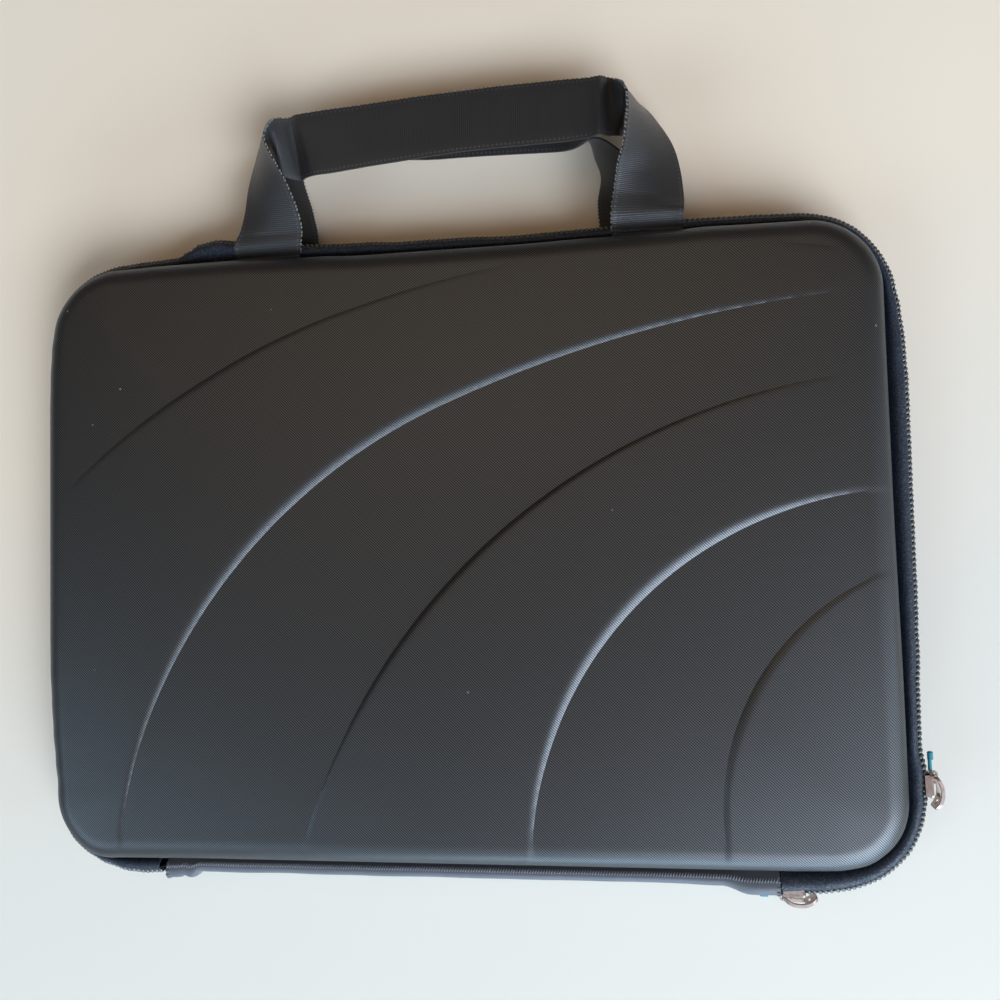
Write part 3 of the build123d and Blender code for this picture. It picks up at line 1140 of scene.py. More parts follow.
@dataclass
class Shell:
    """Foam shell with cloth pressed over it: a lightly domed plate that rolls over into its wall."""

    half: Half
    fields: tuple[LoweredField, ...] = ()
    cell: float = 1.25
    dome: float = 2.0
    dome_reach: float = 85.0
    dome_bend: float = 2.6
    edge_steps: int = 10
    wall_rise: float = 1.9
    shallowest_crease: float = 0.06
    lining_gap: float = 0.45
    lining_radius: float = 4.6
    lining_inset: float = 9.25
    lining_steps: int = 6
    lining_edge: tuple[float, float] = (4.5, 8.25)
    lining_thickness: float = 0.75

    def __post_init__(self) -> None:
        """Works out the level top."""
        self.flat = (CASE.half_length - CASE.inset, CASE.half_depth - CASE.inset)
        self.flat_corner = CASE.corner - CASE.inset

    def build(self, finish: Material) -> None:
        """Builds one shell on its body.

        Args:
            finish: the twill cloth.
        """
        piece, mesh = self._plate(f"{self.half.body}_shell_cloth")
        self._press(mesh)
        self._wrap(mesh)
        self._settle(mesh, piece)
        Bench.face_outwards(piece)
        Bench.smooth(piece, 48.0)
        finish_piece(piece, finish, [f"{self.half.body}_shell"], self.half.body)

    def build_lining(self, finish: Material) -> None:
        """Builds the cloth pressed into the shell, as a thin tray.

        Args:
            finish: the fleece.
        """
        piece, mesh = self._plate(f"{self.half.body}_lining_fleece")
        level = CASE.half_thickness - CASE.wall - self.lining_gap
        for vertex in mesh.verts:
            vertex.co.z = level - 0.2 * abs(drift(vertex.co.x * 0.05, vertex.co.y * 0.05, 9.0))
        radius, (edge_inset, edge_level) = self.lining_radius, self.lining_edge
        rings = []
        for step in range(1, self.lining_steps + 1):
            angle = QUARTER_TURN + (CASE.draft - QUARTER_TURN) * step / self.lining_steps
            inset = self.lining_inset - radius * math.cos(angle)
            rings.append((inset, level - radius + radius * math.sin(angle), 0.0))
        rings.append((edge_inset + 2.3 * math.tan(CASE.draft), edge_level, 0.0))
        self._grow(mesh, rings)
        lay_flat(mesh, {vertex: vertex.co.to_2d() for vertex in mesh.verts})
        self._settle(mesh, piece)
        Bench.apply(piece, "SOLIDIFY", thickness=self.lining_thickness * MM, offset=0.0)
        Bench.smooth(piece, 50.0)
        finish_piece(piece, finish, [f"{self.half.body}_lining"], self.half.body)

    def _plate(self, name: str) -> tuple[Piece, Mesh]:
        """Flat plate the size of the level top, with cells outside its rounded corners cut off.

        Args:
            name: name of the piece.

        Returns:
            The piece and its open mesh.
        """
        cells = (round(2 * self.flat[0] / self.cell), round(2 * self.flat[1] / self.cell))
        piece = Bench.grid(name, cells, 2.0, self.flat)
        mesh = bmesh.new()
        mesh.from_mesh(piece.data)
        outside = [v for v in mesh.verts if self._beyond(v.co.x, v.co.y)[0] > 0.36 * self.cell]
        bmesh.ops.delete(mesh, geom=outside, context="VERTS")
        loose = [v for v in mesh.verts if not v.link_faces]
        bmesh.ops.delete(mesh, geom=loose, context="VERTS")
        for vertex in mesh.verts:
            if vertex.is_boundary:
                beyond, out = self._beyond(vertex.co.x, vertex.co.y)
                vertex.co -= out * beyond
        return piece, mesh

    def _beyond(self, x: float, y: float) -> tuple[float, Vector]:
        """Distance outside the level top's outline, and the outward direction there.

        Args:
            x: place along the spine.
            y: place from the spine to the handles.

        Returns:
            The distance and the direction.
        """
        away_x = abs(x) - self.flat[0] + self.flat_corner
        away_y = abs(y) - self.flat[1] + self.flat_corner
        if away_x > 0 and away_y > 0:
            far = math.hypot(away_x, away_y)
            out = Vector((math.copysign(away_x, x), math.copysign(away_y, y), 0)) / far
            return far - self.flat_corner, out
        if away_x > away_y:
            return away_x - self.flat_corner, Vector((math.copysign(1, x), 0, 0))
        return away_y - self.flat_corner, Vector((0, math.copysign(1, y), 0))

    def _press(self, mesh: Mesh) -> None:
        """Presses the moulded lines into the plate, with a clean crease along each.

        Args:
            mesh: the shell's open mesh.
        """
        for shaped in self.fields:
            for line in shaped.lines:
                self._crease(mesh, shaped, line)
        lay_flat(mesh, {vertex: vertex.co.to_2d() for vertex in mesh.verts})
        for vertex in mesh.verts:
            x, y = vertex.co.x, vertex.co.y
            vertex.co.z = CASE.half_thickness - self._sag(x, y) - self._dip(x, y)

    def _crease(self, mesh: Mesh, shaped: LoweredField, line: StepLine) -> None:
        """Draws the nearest vertices onto one moulded line and joins them by sharp edges.

        Args:
            mesh: the shell's open mesh.
            shaped: the field that the line bounds.
            line: the moulded line.
        """
        crease = []
        for vertex in mesh.verts:
            x, y = vertex.co.x, vertex.co.y
            if vertex.is_boundary or shaped.full_depth(x, y) < self.shallowest_crease:
                continue
            away = abs(line.climb(x, y))
            if away > self.cell * 0.6:
                continue
            centre_x, centre_y, _ = line.arc_at(x, y)
            off_x, off_y = abs(x - centre_x), abs(y - centre_y)
            if away < 0.5 * self.cell * max(off_x, off_y) / max(math.hypot(off_x, off_y), 1e-6):
                vertex.co.x, vertex.co.y = line.onto(x, y)
                crease.append(vertex)
        bmesh.ops.connect_verts(mesh, verts=crease)
        chosen = set(crease)
        for edge in mesh.edges:
            if edge.verts[0] in chosen and edge.verts[1] in chosen:
                edge.smooth = False

    def _sag(self, x: float, y: float) -> float:
        """How far the dome has fallen at a point."""
        inside = max(0.0, -self._beyond(x, y)[0])
        return self.dome * max(0.0, 1 - inside / self.dome_reach) ** self.dome_bend

    def _dip(self, x: float, y: float) -> float:
        """How deep the moulded fields are at a point."""
        return max((shaped.drop(x, y) for shaped in self.fields), default=0.0)

    def _wrap(self, mesh: Mesh) -> None:
        """Rolls the edge over into the wall, turns the rim and closes the inside.

        Args:
            mesh: the shell's open mesh.
        """
        radius, top, rim = CASE.edge_radius, CASE.half_thickness, CASE.rim_gap
        rings: list[tuple[float, float, float]] = []
        for step in range(1, self.edge_steps + 1):
            share = step / self.edge_steps
            angle = QUARTER_TURN + (CASE.draft - QUARTER_TURN) * share
            rings.append((
                CASE.inset - radius * math.cos(angle), top - radius + radius * math.sin(angle), 1 - share,
            ))
        rings.append((self.wall_rise * math.tan(CASE.draft), rim + self.wall_rise, 0.0))
        rings += [(inset, rim + rise, 0.0) for inset, rise in RIM_TURN]
        rings += [(inset, top - CASE.wall - below, 0.0) for inset, below in INSIDE_CORNER]
        edges, cloth_at = self._grow(mesh, rings)
        bmesh.ops.contextual_create(mesh, geom=edges)
        lay_flat(mesh, cloth_at)

    def _grow(
        self, mesh: Mesh, rings: Sequence[tuple[float, float, float]]
    ) -> tuple[list[bmesh.types.BMEdge], dict[bmesh.types.BMVert, Vector]]:
        """Extrudes the plate's open edge ring by ring.

        Args:
            mesh: the plate.
            rings: inset from the rim's outline, level, and share of the top's sag of each ring.

        Returns:
            The edges of the last ring, and the place of each ring vertex on the flat cloth.
        """
        edges = [edge for edge in mesh.edges if edge.is_boundary]
        start = {v: (v.co.copy(), self._beyond(v.co.x, v.co.y)[1]) for e in edges for v in e.verts}
        cloth_at = {vertex: base.to_2d() for vertex, (base, _) in start.items()}
        length, last = 0.0, (CASE.inset, CASE.half_thickness)
        for inset, level, share in rings:
            length += math.hypot(inset - last[0], level - last[1])
            last = (inset, level)
            grown = bmesh.ops.extrude_edge_only(mesh, edges=edges)["geom"]
            following = {}
            for vertex in (item for item in grown if isinstance(item, bmesh.types.BMVert)):
                linked = (edge.other_vert(vertex) for edge in vertex.link_edges)
                base, out = next(start[old] for old in linked if old in start)
                sag = self._sag(base.x, base.y) + self._dip(base.x, base.y)
                vertex.co = Vector((base.x, base.y, 0)) + out * (CASE.inset - inset)
                vertex.co.z = level - sag * (1 - (1 - share) ** 2)
                following[vertex] = (base, out)
                cloth_at[vertex] = (base + out * length).to_2d()
            edges = [
                item for item in grown
                if isinstance(item, bmesh.types.BMEdge) and all(v in following for v in item.verts)
            ]
            start = following
        return edges, cloth_at

    def _settle(self, mesh: Mesh, piece: Piece) -> None:
        """Draws the sides in, turns the mesh to its half and writes it back, in metres.

        Args:
            mesh: the shell's open mesh.
            piece: the piece that the mesh came from.
        """
        for vertex in mesh.verts:
            spot = vertex.co + drawn_in(vertex.co.x, vertex.co.y)
            vertex.co = Vector((spot.x, spot.y, self.half.height(spot.z))) * MM
        mesh.normal_update()
        mesh.to_mesh(piece.data)
        mesh.free()


# ---------------------------------------------------------------- zip

# Distance along the cut edge, and how far the zip stands out there against its usual line.
ZIP_REACH: Stops = (
    (0.0, 1.2), (12.0, 0.6), (24.0, -0.5), (58.0, -0.8), (61.5, -0.4), (72.0, -0.4), (79.0, -1.5),
    (103.0, -1.4), (115.0, -0.5), (150.0, -0.3), (215.0, 0.0), (232.0, -0.3), (244.0, -1.5), (254.0, -3.0),
    (263.0, -4.3), (272.0, -5.0), (290.0, -4.7), (300.0, -3.9), (318.0, -3.2), (340.0, -2.9), (382.0, -3.9),
    (410.0, -4.4), (432.0, -3.5), (457.0, -3.5), (470.0, -2.6), (500.0, -1.9), (522.0, 1.6), (536.0, 3.0),
    (543.0, 2.0), (548.0, -0.8), (553.0, -3.4), (568.0, -4.0), (578.0, -5.0), (588.0, -6.2), (604.0, -6.6),
    (780.0, -6.6), (800.0, -7.2), (825.0, -7.2), (838.0, -5.6), (846.0, -4.8), (854.0, -3.3), (862.0, -1.4),
    (868.0, -1.0), (877.1, -1.5),
)


@dataclass
class ZipSide:
    """Knitted tape, nylon coil and core of one half, laid round the three zipped sides."""

    half: Half
    rim: Rim = Rim()
    thickness: float = 0.7
    tape_width: float = 22.0
    end_length: float = 30.5
    corner_end_length: float = 77.48
    coil_pitch: float = 2.0
    coil_out: float = 7.0
    core_out: float = 6.75
    core_rise: float = 0.75
    core_radius: float = 0.78
    closed_from: float = 110.0
    section: Stops = (
        (-4.62, 7.6), (-4.5, 5.4), (-3.7, 3.2), (-2.0, 1.8), (-0.4, 1.2), (0.8, 1.7),
        (2.0, 3.4), (3.2, 4.5), (4.6, 4.5), (5.4, 3.6), (5.62, 1.0),
    )
    turn: tuple[tuple[float, float, float], ...] = (
        (-0.7, 5.6, 1.5), (-0.45, 6.2, 1.85), (0.0, 6.8, 1.65), (0.35, 7.15, 1.1),
        (0.5, 7.1, 0.5), (0.5, 6.7, 0.05),
    )
    turn_radii: tuple[float, ...] = (0.45, 0.68, 0.74, 0.68, 0.55, 0.4)

    def build(self, finishes: Materials) -> None:
        """Builds the tape, coil and core, each in a main run and two ends by the spine.

        Args:
            finishes: every material, by its use.
        """
        total, name = self.rim.length, self.half.body
        first = self.corner_end_length if self.half is Half.LID else self.end_length
        cuts = (0.0, first / total, 1 - self.end_length / total, 1.0)
        for label, side, low, high in zip(("_end_right", "", "_end_left"), (1, 0, -1), cuts, cuts[1:]):
            tape = self._tape(f"{name}_zip_tape{label}_cloth", low, high)
            coil = self._coil(f"{name}_zip_coil{label}_turns", low, high)
            core = self._core(f"{name}_zip_core{label}_cord", low, high)
            # The core's near-black finish is partly painted shade between the turns; the coil's light grey is
            # partly painted highlight.
            for piece, use, kind in ((tape, "tape", "tape"), (coil, "coil", "coil"), (core, "core", "coil")):
                body = None if side else name
                finish_piece(piece, finishes[use], [f"{name}_zip_{kind}{label}"], body)
                if side:
                    self._bend(piece, side)

    def _bend(self, piece: Piece, side: int) -> None:
        """Sets the place of an end of the zip into its mesh; the end stays on neither body and is not bent.

        Args:
            piece: the piece to change.
            side: 1 for the right end, -1 for the left one.
        """
        lean, on_shell, on_spine = 0.37, 5.6, 3.59
        start = (side * CASE.zip_end, -CASE.half_depth, self.half.height(on_shell))
        end = (side * (CASE.zip_end - lean), -CASE.half_depth, self.half.height(on_spine))
        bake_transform(piece)

    def _spot(self, distance: float, out: float, rise: float) -> Vector:
        """A point of the zip at a distance along the cut edge.

        Args:
            distance: how far along the cut edge.
            out: how far outside the edge.
            rise: distance from the closing plane.

        Returns:
            The point.
        """
        point, outward, _ = self.rim.at(distance)
        share = ease(out, -1.0, 5.5)
        wave = 0.35 * drift(distance * 0.045, 3.0) + 0.15 * drift(distance * 0.19, 7.0)
        spot = point + outward * (out + share * (along_stops(ZIP_REACH, distance) + wave))
        spot += drawn_in(spot.x, spot.y) * (1 - share)
        lift = share * 0.3 * drift(distance * 0.06, 11.0, 2.0)
        spot.z = self.half.height(rise + (lift if rise > 2.8 else 0.0))
        return spot

    def _tape(self, name: str, low: float, high: float) -> Piece:
        """One stretch of tape.

        Args:
            name: name of the piece.
            low: start of the stretch, as a share of the edge.
            high: end of the stretch.

        Returns:
            The tape.
        """
        total = self.rim.length
        length = (high - low) * total

        def spot(section: Vector, across: float, along: float) -> Vector:
            """A point of the tape, slightly puffed outside the rim."""
            puff = 0.12 * drift(along * length * 0.35, across * 5.0, 1.0) if section.x > 0 else 0.0
            return self._spot(low * total + along * length, section.x, section.y + puff)

        stations = max(8, round(length / 2.0))
        return Bench.band(name, self.section, (22, stations), (self.tape_width, length), spot, self.thickness)

    def _core(self, name: str, low: float, high: float) -> Piece:
        """The filler cord that runs inside one stretch of coil.

        Args:
            name: name of the piece.
            low: start of the stretch, as a share of the edge.
            high: end of the stretch.

        Returns:
            The cord.
        """
        total = self.rim.length
        count = max(8, round((high - low) * total / 2.5))
        line = [
            self._spot((low + (high - low) * step / count) * total, self.core_out, self.core_rise)
            for step in range(count + 1)
        ]
        return Bench.rod(name, line, [self.core_radius] * len(line), 6)

    def _coil(self, name: str, low: float, high: float) -> Piece:
        """One stretch of coil: the same turn again and again.

        Args:
            name: name of the piece.
            low: start of the stretch, as a share of the edge.
            high: end of the stretch.

        Returns:
            The coil.
        """
        pattern = Bench.rod(f"{name}_pattern", self.turn, self.turn_radii, 6)
        total = self.rim.length
        lag = 0.5 * self.coil_pitch if self.half is Half.BASE else 0.0
        tighter = CASE.corner / (CASE.corner + self.coil_out)
        places: list[Matrix] = []
        distance = 0.0
        while distance < total:
            if low * total <= distance < high * total:
                _, outward, forward = self.rim.at(distance + lag)
                spot = self._spot(distance + lag, self.coil_out, 1.0) - outward * self.coil_out
                spot.z = self.half.height(-0.15 if distance > self.closed_from else 0.4)
                places.append(seat(forward, outward, self.half.up, spot))
            outward = self.rim.at(distance)[1]
            distance += self.coil_pitch * (tighter if abs(outward.x * outward.y) > 0.001 else 1.0)
        return Bench.copies(name, pattern, places)


# ---------------------------------------------------------------- spine


@dataclass
class Spine:
    """Ribbed ribbon beside the fold of one half, overlocked along its edge and tacked at its ends."""

    half: Half
    thickness: float = 0.8
    width: float = 20.0
    first_stitch: float = 3.4
    stitch_gap: float = 1.05
    stitch_out: float = 1.9
    stitch_rise: float = 4.2
    section: Stops = (
        (-4.62, 7.6), (-4.5, 6.0), (-3.7, 3.4), (-2.2, 1.4), (-0.6, 0.8), (0.6, 1.2), (1.3, 2.4),
        (2.0, 4.0), (3.0, 4.8), (4.2, 4.5), (5.1, 3.2), (5.38, 1.5), (5.4, -0.05),
    )

    def build(self, finishes: Materials) -> None:
        """Builds the ribbon with its stitches and end tacks.

        Args:
            finishes: every material, by its use.
        """
        name = self.half.body
        start = (0.0, -(CASE.half_depth + 0.2) * MM, self.half.height(5.2) * MM)
        end = (0.0, -(CASE.half_depth + 3.2) * MM, self.half.height(4.0) * MM)
        nodes = [f"{name}_spine_flap", "spine_strip"]
        for make, use, stands_for in (
            (self._ribbon, "spine", nodes),
            (self._stitches, "light_thread", ()),
            (self._tacks, "light_thread", ()),
        ):
            piece = make()
            finish_piece(piece, finishes[use], stands_for)
            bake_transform(piece)

    @staticmethod
    def bulge(x: float) -> float:
        """How far the ribbon stands out beyond its usual line at a place along the spine.

        Args:
            x: place along the spine.

        Returns:
            The distance.
        """
        right = 3.0 * ease(x, 102.0, 112.5) + 0.5 * ease(x, 84.0, 100.0)
        left = 2.6 * ease(-x, 106.0, 109.5) * (1 - 0.35 * math.exp(-((x + 113.0) / 1.3) ** 2))
        return right + left - 0.5 + 0.3 * drift(x * 0.05, 21.0)

    def _spot(self, x: float, out: float, rise: float) -> Vector:
        """A point of the ribbon.

        Args:
            x: place along the spine.
            out: how far outside the edge.
            rise: distance from the closing plane.

        Returns:
            The point.
        """
        share = ease(out, 0.0, 4.5)
        lift = 0.5 * share * math.exp(-((x - 114.0) / 9.0) ** 2)
        y = -CASE.half_depth - out - share * self.bulge(x)
        y += drawn_in(x, -CASE.half_depth).y * (1 - ease(out, -1.0, 4.0))
        return Vector((x, y, self.half.height(rise + lift)))

    def _ribbon(self) -> Piece:
        """The ribbon itself.

        Returns:
            The ribbon.
        """
        span = 2 * CASE.spine_half

        def spot(section: Vector, across: float, along: float) -> Vector:
            """A point of the ribbon, slightly puffed."""
            x = along * span - CASE.spine_half + 2.6 * (1 - along)
            return self._spot(x, section.x, section.y + 0.1 * drift(x * 0.3, across * 4.0, 5.0))

        name = f"{self.half.body}_spine_ribbon"
        return Bench.band(name, self.section, (20, 164), (self.width, span), spot, self.thickness)

    def _stitches(self) -> Piece:
        """Slanted overlock stitches over the ribbon's edge beside the shell.

        Returns:
            The stitches.
        """
        line = ((0.35, -0.4, -0.7), (0.25, 0.0, 0.15), (-0.2, 0.8, 0.85), (-0.35, 1.2, 0.75))
        pattern = Bench.rod(f"{self.half.body}_stitch", line, (0.14, 0.24, 0.24, 0.14))
        places = []
        x = self.first_stitch - CASE.spine_half
        while x < CASE.spine_half - 1.0:
            spot = self._spot(x, self.stitch_out, self.stitch_rise)
            places.append(seat(Vector((1, 0, 0)), Vector((0, -1, 0)), self.half.up, spot))
            x += self.stitch_gap + 0.08 * drift(x * 0.9, 2.0)
        return Bench.copies(f"{self.half.body}_spine_stitches", pattern, places)

    def _tacks(self) -> Piece:
        """Close stitches that hold down the ribbon's two ends.

        Returns:
            The tacks.
        """
        line = ((-0.8, 0, 0.05), (-0.3, 0, 0.4), (0.5, 0, 0.4), (0.9, 0, 0.0))
        pattern = Bench.rod(f"{self.half.body}_tack", line, (0.12, 0.2, 0.2, 0.12))
        ahead, side = Vector((1, 0, 0)), self.half.value
        places = []
        for x in (3.2 - CASE.spine_half, CASE.spine_half - 0.6):
            for section in smooth_line(self.section, 40)[14:38:2]:
                spot = self._spot(x, section.x + 0.05, section.y)
                up = Vector((0, -0.35, 0.94 * side) if section.x < 4.4 else (0, -1, 0.3 * side)).normalized()
                places.append(seat(ahead, up.cross(ahead), up, spot + up * 0.2))
        return Bench.copies(f"{self.half.body}_spine_tacks", pattern, places)


# ---------------------------------------------------------------- handles


@dataclass
class Handle:
    """One ribbon that leaves the rim, turns on edge at each corner and lies flat across the top.

    Each station gives the two selvedges: first the one that is inside the legs and at the top
    of the band, then the one that is outside the legs and at the bottom of the band.
    """

    half: Half
    stations: tuple[tuple[float, ...], ...]
    width: float = 27.4
    thickness: float = 0.85
    across: int = 16
    steps: int = 420
    picot_gap: float = 1.8

    def build(self, finishes: Materials) -> None:
        """Builds the ribbon and the picot stitches on its selvedge.

        Args:
            finishes: every material, by its use.
        """
        side = "front" if self.half is Half.LID else "back"
        self._lay_out()
        cells, size = (self.across, self.steps), (self.width, self.reach)
        cloth = Bench.cloth(f"{side}_handle_ribbon", cells, size, self._place, self.thickness)
        nodes = [f"{side}_handle", f"{side}_handle_roots"]
        finish_piece(cloth, finishes["ribbon"], nodes)
        picots = self._picots(f"{side}_handle_picots")
        finish_piece(picots, finishes["dark_thread"])
        height = self.half.height(5.25) * MM
        for piece in (cloth, picots):
            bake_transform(piece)

    def _lay_out(self) -> None:
        """Finds both selvedges and the face direction at even steps, and the ribbon's length."""
        knots = [Vector(station) for station in (self.stations[0], *self.stations, self.stations[-1])]
        even, self.reach = even_steps(spline(knots, 16), self.steps, self._gap)
        pairs = [(Vector(both[:3]), Vector(both[3:])) for both in even]
        self.rows: list[tuple[Vector, Vector, Vector]] = []
        for step, (inner, outer) in enumerate(pairs):
            before, after = pairs[max(step - 2, 0)], pairs[min(step + 2, self.steps)]
            ahead = (after[0] + after[1] - before[0] - before[1]).normalized()
            self.rows.append((inner, outer, ahead.cross((inner - outer).normalized())))

    @staticmethod
    def _gap(a: Vector, b: Vector) -> float:
        """Mean distance of the two selvedges between two stations."""
        step = b - a
        return 0.5 * (Vector(step[:3]).length + Vector(step[3:]).length)

    def _place(self, across: float, along: float) -> Vector:
        """A point of the ribbon, bowed where its selvedges come closer than its width.

        Args:
            across: share across the cloth.
            along: share along the cloth.

        Returns:
            The point.
        """
        inner, outer, face = self.rows[round(along * self.steps)]
        from_middle = 2 * across - 1
        slack = math.sqrt(max(0.0, self.width ** 2 - (inner - outer).length_squared)) * 0.42
        flatness = abs(math.cos(FULL_TURN * along))
        bow = slack * (1 - from_middle ** 2) * (0.5 + 0.5 * flatness)
        curl = -0.35 * from_middle ** 6
        wave = 0.3 * drift(along * 11.0, across * 1.3, float(self.half.value))
        return inner.lerp(outer, 1 - across) + face * (curl + wave - bow * 0.25)

    def _picots(self, name: str) -> Piece:
        """Small yarn loops along the selvedge that lies on top.

        Args:
            name: name of the piece.

        Returns:
            The loops.
        """
        line = ((-0.55, -0.1, 0.1), (-0.25, 0.3, 0.1), (0.25, 0.3, 0.0), (0.55, -0.1, 0.0))
        pattern = Bench.rod(f"{name}_loop", line, (0.2, 0.34, 0.34, 0.2))
        places = []
        gap = 0.0
        for inner, outer, face in self.rows[6:-6]:
            gap += self.reach / self.steps
            if gap < self.picot_gap:
                continue
            gap -= self.picot_gap
            edge = (inner - outer).normalized()
            places.append(seat(edge.cross(face), edge, face, inner - face * 0.3 - edge * 0.1))
        return Bench.copies(name, pattern, places)


# The front handle as it lies: legs twisted on edge, band resting on the back handle.
FRONT_STATIONS = (
    (-59.8, 119.6, 22.3, -87.2, 119.6, 22.3), (-59.6, 122.8, 21.2, -87.2, 122.8, 21.2),
    (-59.2, 124.4, 21.8, -87.1, 124.4, 21.8), (-58.4, 126.0, 24.2, -86.8, 126.0, 24.2),
    (-57.6, 128.2, 25.9, -86.2, 128.2, 25.7), (-56.9, 133.0, 27.2, -83.6, 133.8, 25.0),
    (-57.6, 140.0, 30.6, -82.2, 142.0, 23.2), (-60.1, 148.2, 33.6, -81.5, 151.2, 21.4),
    (-62.6, 154.0, 35.0, -80.7, 159.2, 19.0), (-65.6, 160.0, 36.0, -79.7, 166.2, 16.8),
    (-68.0, 165.5, 36.4, -79.0, 172.4, 14.8), (-68.6, 169.0, 36.4, -77.4, 174.6, 13.8),
    (-68.4, 171.6, 36.2, -74.4, 169.4, 15.0), (-67.6, 173.5, 35.5, -71.6, 163.4, 18.4),
    (-67.0, 175.6, 33.7, -69.0, 159.6, 21.6), (-66.8, 176.8, 32.0, -66.4, 157.4, 22.6),
    (-66.4, 178.0, 30.0, -63.8, 156.4, 20.8), (-65.4, 179.3, 27.2, -61.2, 156.3, 18.8),
    (-63.6, 180.9, 23.0, -59.4, 156.4, 18.0), (-61.8, 181.9, 22.2, -57.2, 156.1, 20.6),
    (-58.8, 182.7, 21.8, -52.4, 155.9, 23.4), (-47.0, 183.6, 21.4, -44.0, 156.2, 24.0),
    (-34.0, 184.4, 21.0, -31.8, 157.2, 24.2), (-3.5, 185.9, 21.0, -3.1, 158.8, 25.4),
    (18.0, 186.7, 21.0, 18.3, 159.6, 25.8), (39.1, 186.5, 21.5, 38.9, 159.5, 26.7),
    (51.0, 186.4, 21.8, 50.8, 159.4, 26.8), (59.0, 186.4, 21.6, 58.6, 159.8, 27.0),
    (62.4, 186.4, 21.8, 62.0, 160.3, 27.2), (65.0, 186.0, 23.2, 64.6, 160.5, 28.6),
    (66.6, 186.3, 22.2, 66.2, 160.8, 27.4), (68.8, 186.6, 19.8, 68.4, 161.2, 24.8),
    (70.8, 185.9, 20.0, 70.6, 161.4, 24.0), (72.2, 184.0, 23.0, 72.4, 161.6, 22.4),
    (73.8, 180.9, 28.0, 74.4, 163.2, 18.6), (75.2, 177.6, 32.6, 76.0, 168.0, 14.0),
    (75.9, 174.0, 36.0, 79.0, 178.0, 11.5), (76.1, 170.1, 37.0, 82.8, 176.0, 11.0),
    (75.9, 164.6, 36.5, 86.4, 170.8, 12.4), (74.2, 154.6, 33.5, 92.8, 159.3, 13.8),
    (71.9, 147.5, 30.0, 95.7, 147.7, 16.3), (70.2, 138.5, 27.4, 96.7, 135.6, 21.2),
    (69.0, 131.5, 26.8, 96.6, 130.0, 25.4), (68.8, 128.2, 25.9, 96.4, 128.0, 25.7),
    (68.7, 126.0, 24.2, 96.2, 126.0, 24.2), (68.6, 124.4, 21.8, 96.1, 124.4, 21.8),
    (68.5, 122.8, 21.2, 96.0, 122.8, 21.2), (68.5, 119.6, 22.3, 95.9, 119.6, 22.3),
)

# The back handle as it lies on the table, under the front one.
BACK_STATIONS = (
    (-57.8, 119.6, 11.7, -85.2, 119.6, 11.7), (-56.6, 124.0, 12.0, -84.0, 124.0, 12.0),
    (-55.2, 130.8, 11.5, -82.2, 131.5, 12.3), (-56.2, 136.5, 9.5, -82.5, 138.5, 12.8),
    (-58.3, 142.5, 7.0, -82.5, 146.5, 13.3), (-60.5, 149.0, 4.6, -81.5, 153.5, 13.2),
    (-62.8, 155.0, 3.0, -79.6, 160.0, 12.0), (-64.6, 160.5, 2.2, -77.0, 164.0, 10.4),
    (-65.5, 166.5, 1.9, -73.0, 164.8, 9.4), (-65.0, 172.0, 2.4, -68.5, 163.2, 9.2),
    (-62.5, 177.5, 3.4, -64.0, 162.2, 9.6), (-57.5, 183.5, 5.4, -58.5, 161.9, 10.6),
    (-49.0, 187.5, 8.0, -50.0, 162.6, 11.4), (-35.0, 189.3, 9.6, -35.0, 163.6, 12.0),
    (-18.0, 190.2, 10.0, -18.0, 163.8, 12.0), (-4.0, 190.0, 10.0, -4.0, 162.9, 12.0),
    (16.0, 189.8, 10.0, 16.0, 162.6, 12.0), (37.0, 188.8, 10.0, 37.0, 161.8, 12.2),
    (47.0, 186.4, 8.6, 47.0, 161.2, 13.2), (53.0, 182.2, 6.2, 52.5, 160.9, 15.0),
    (57.0, 177.0, 4.4, 56.5, 161.2, 17.4), (59.8, 171.4, 3.0, 60.2, 162.2, 20.0),
    (61.3, 166.4, 2.0, 63.3, 162.2, 21.4), (62.4, 161.8, 1.6, 66.7, 161.0, 21.5),
    (63.7, 158.2, 1.8, 70.4, 158.4, 21.2), (64.6, 155.0, 2.4, 74.0, 155.4, 20.4),
    (64.8, 151.0, 3.2, 78.5, 151.0, 19.4), (64.0, 146.5, 4.4, 83.0, 146.0, 18.0),
    (63.2, 141.5, 6.2, 87.0, 140.0, 16.0), (63.2, 135.5, 8.4, 89.8, 134.0, 14.0),
    (63.6, 130.5, 10.4, 90.8, 129.0, 12.6), (63.8, 124.0, 12.0, 91.2, 124.0, 12.0),
    (63.8, 119.6, 11.7, 91.2, 119.6, 11.7),
)


# ---------------------------------------------------------------- inside


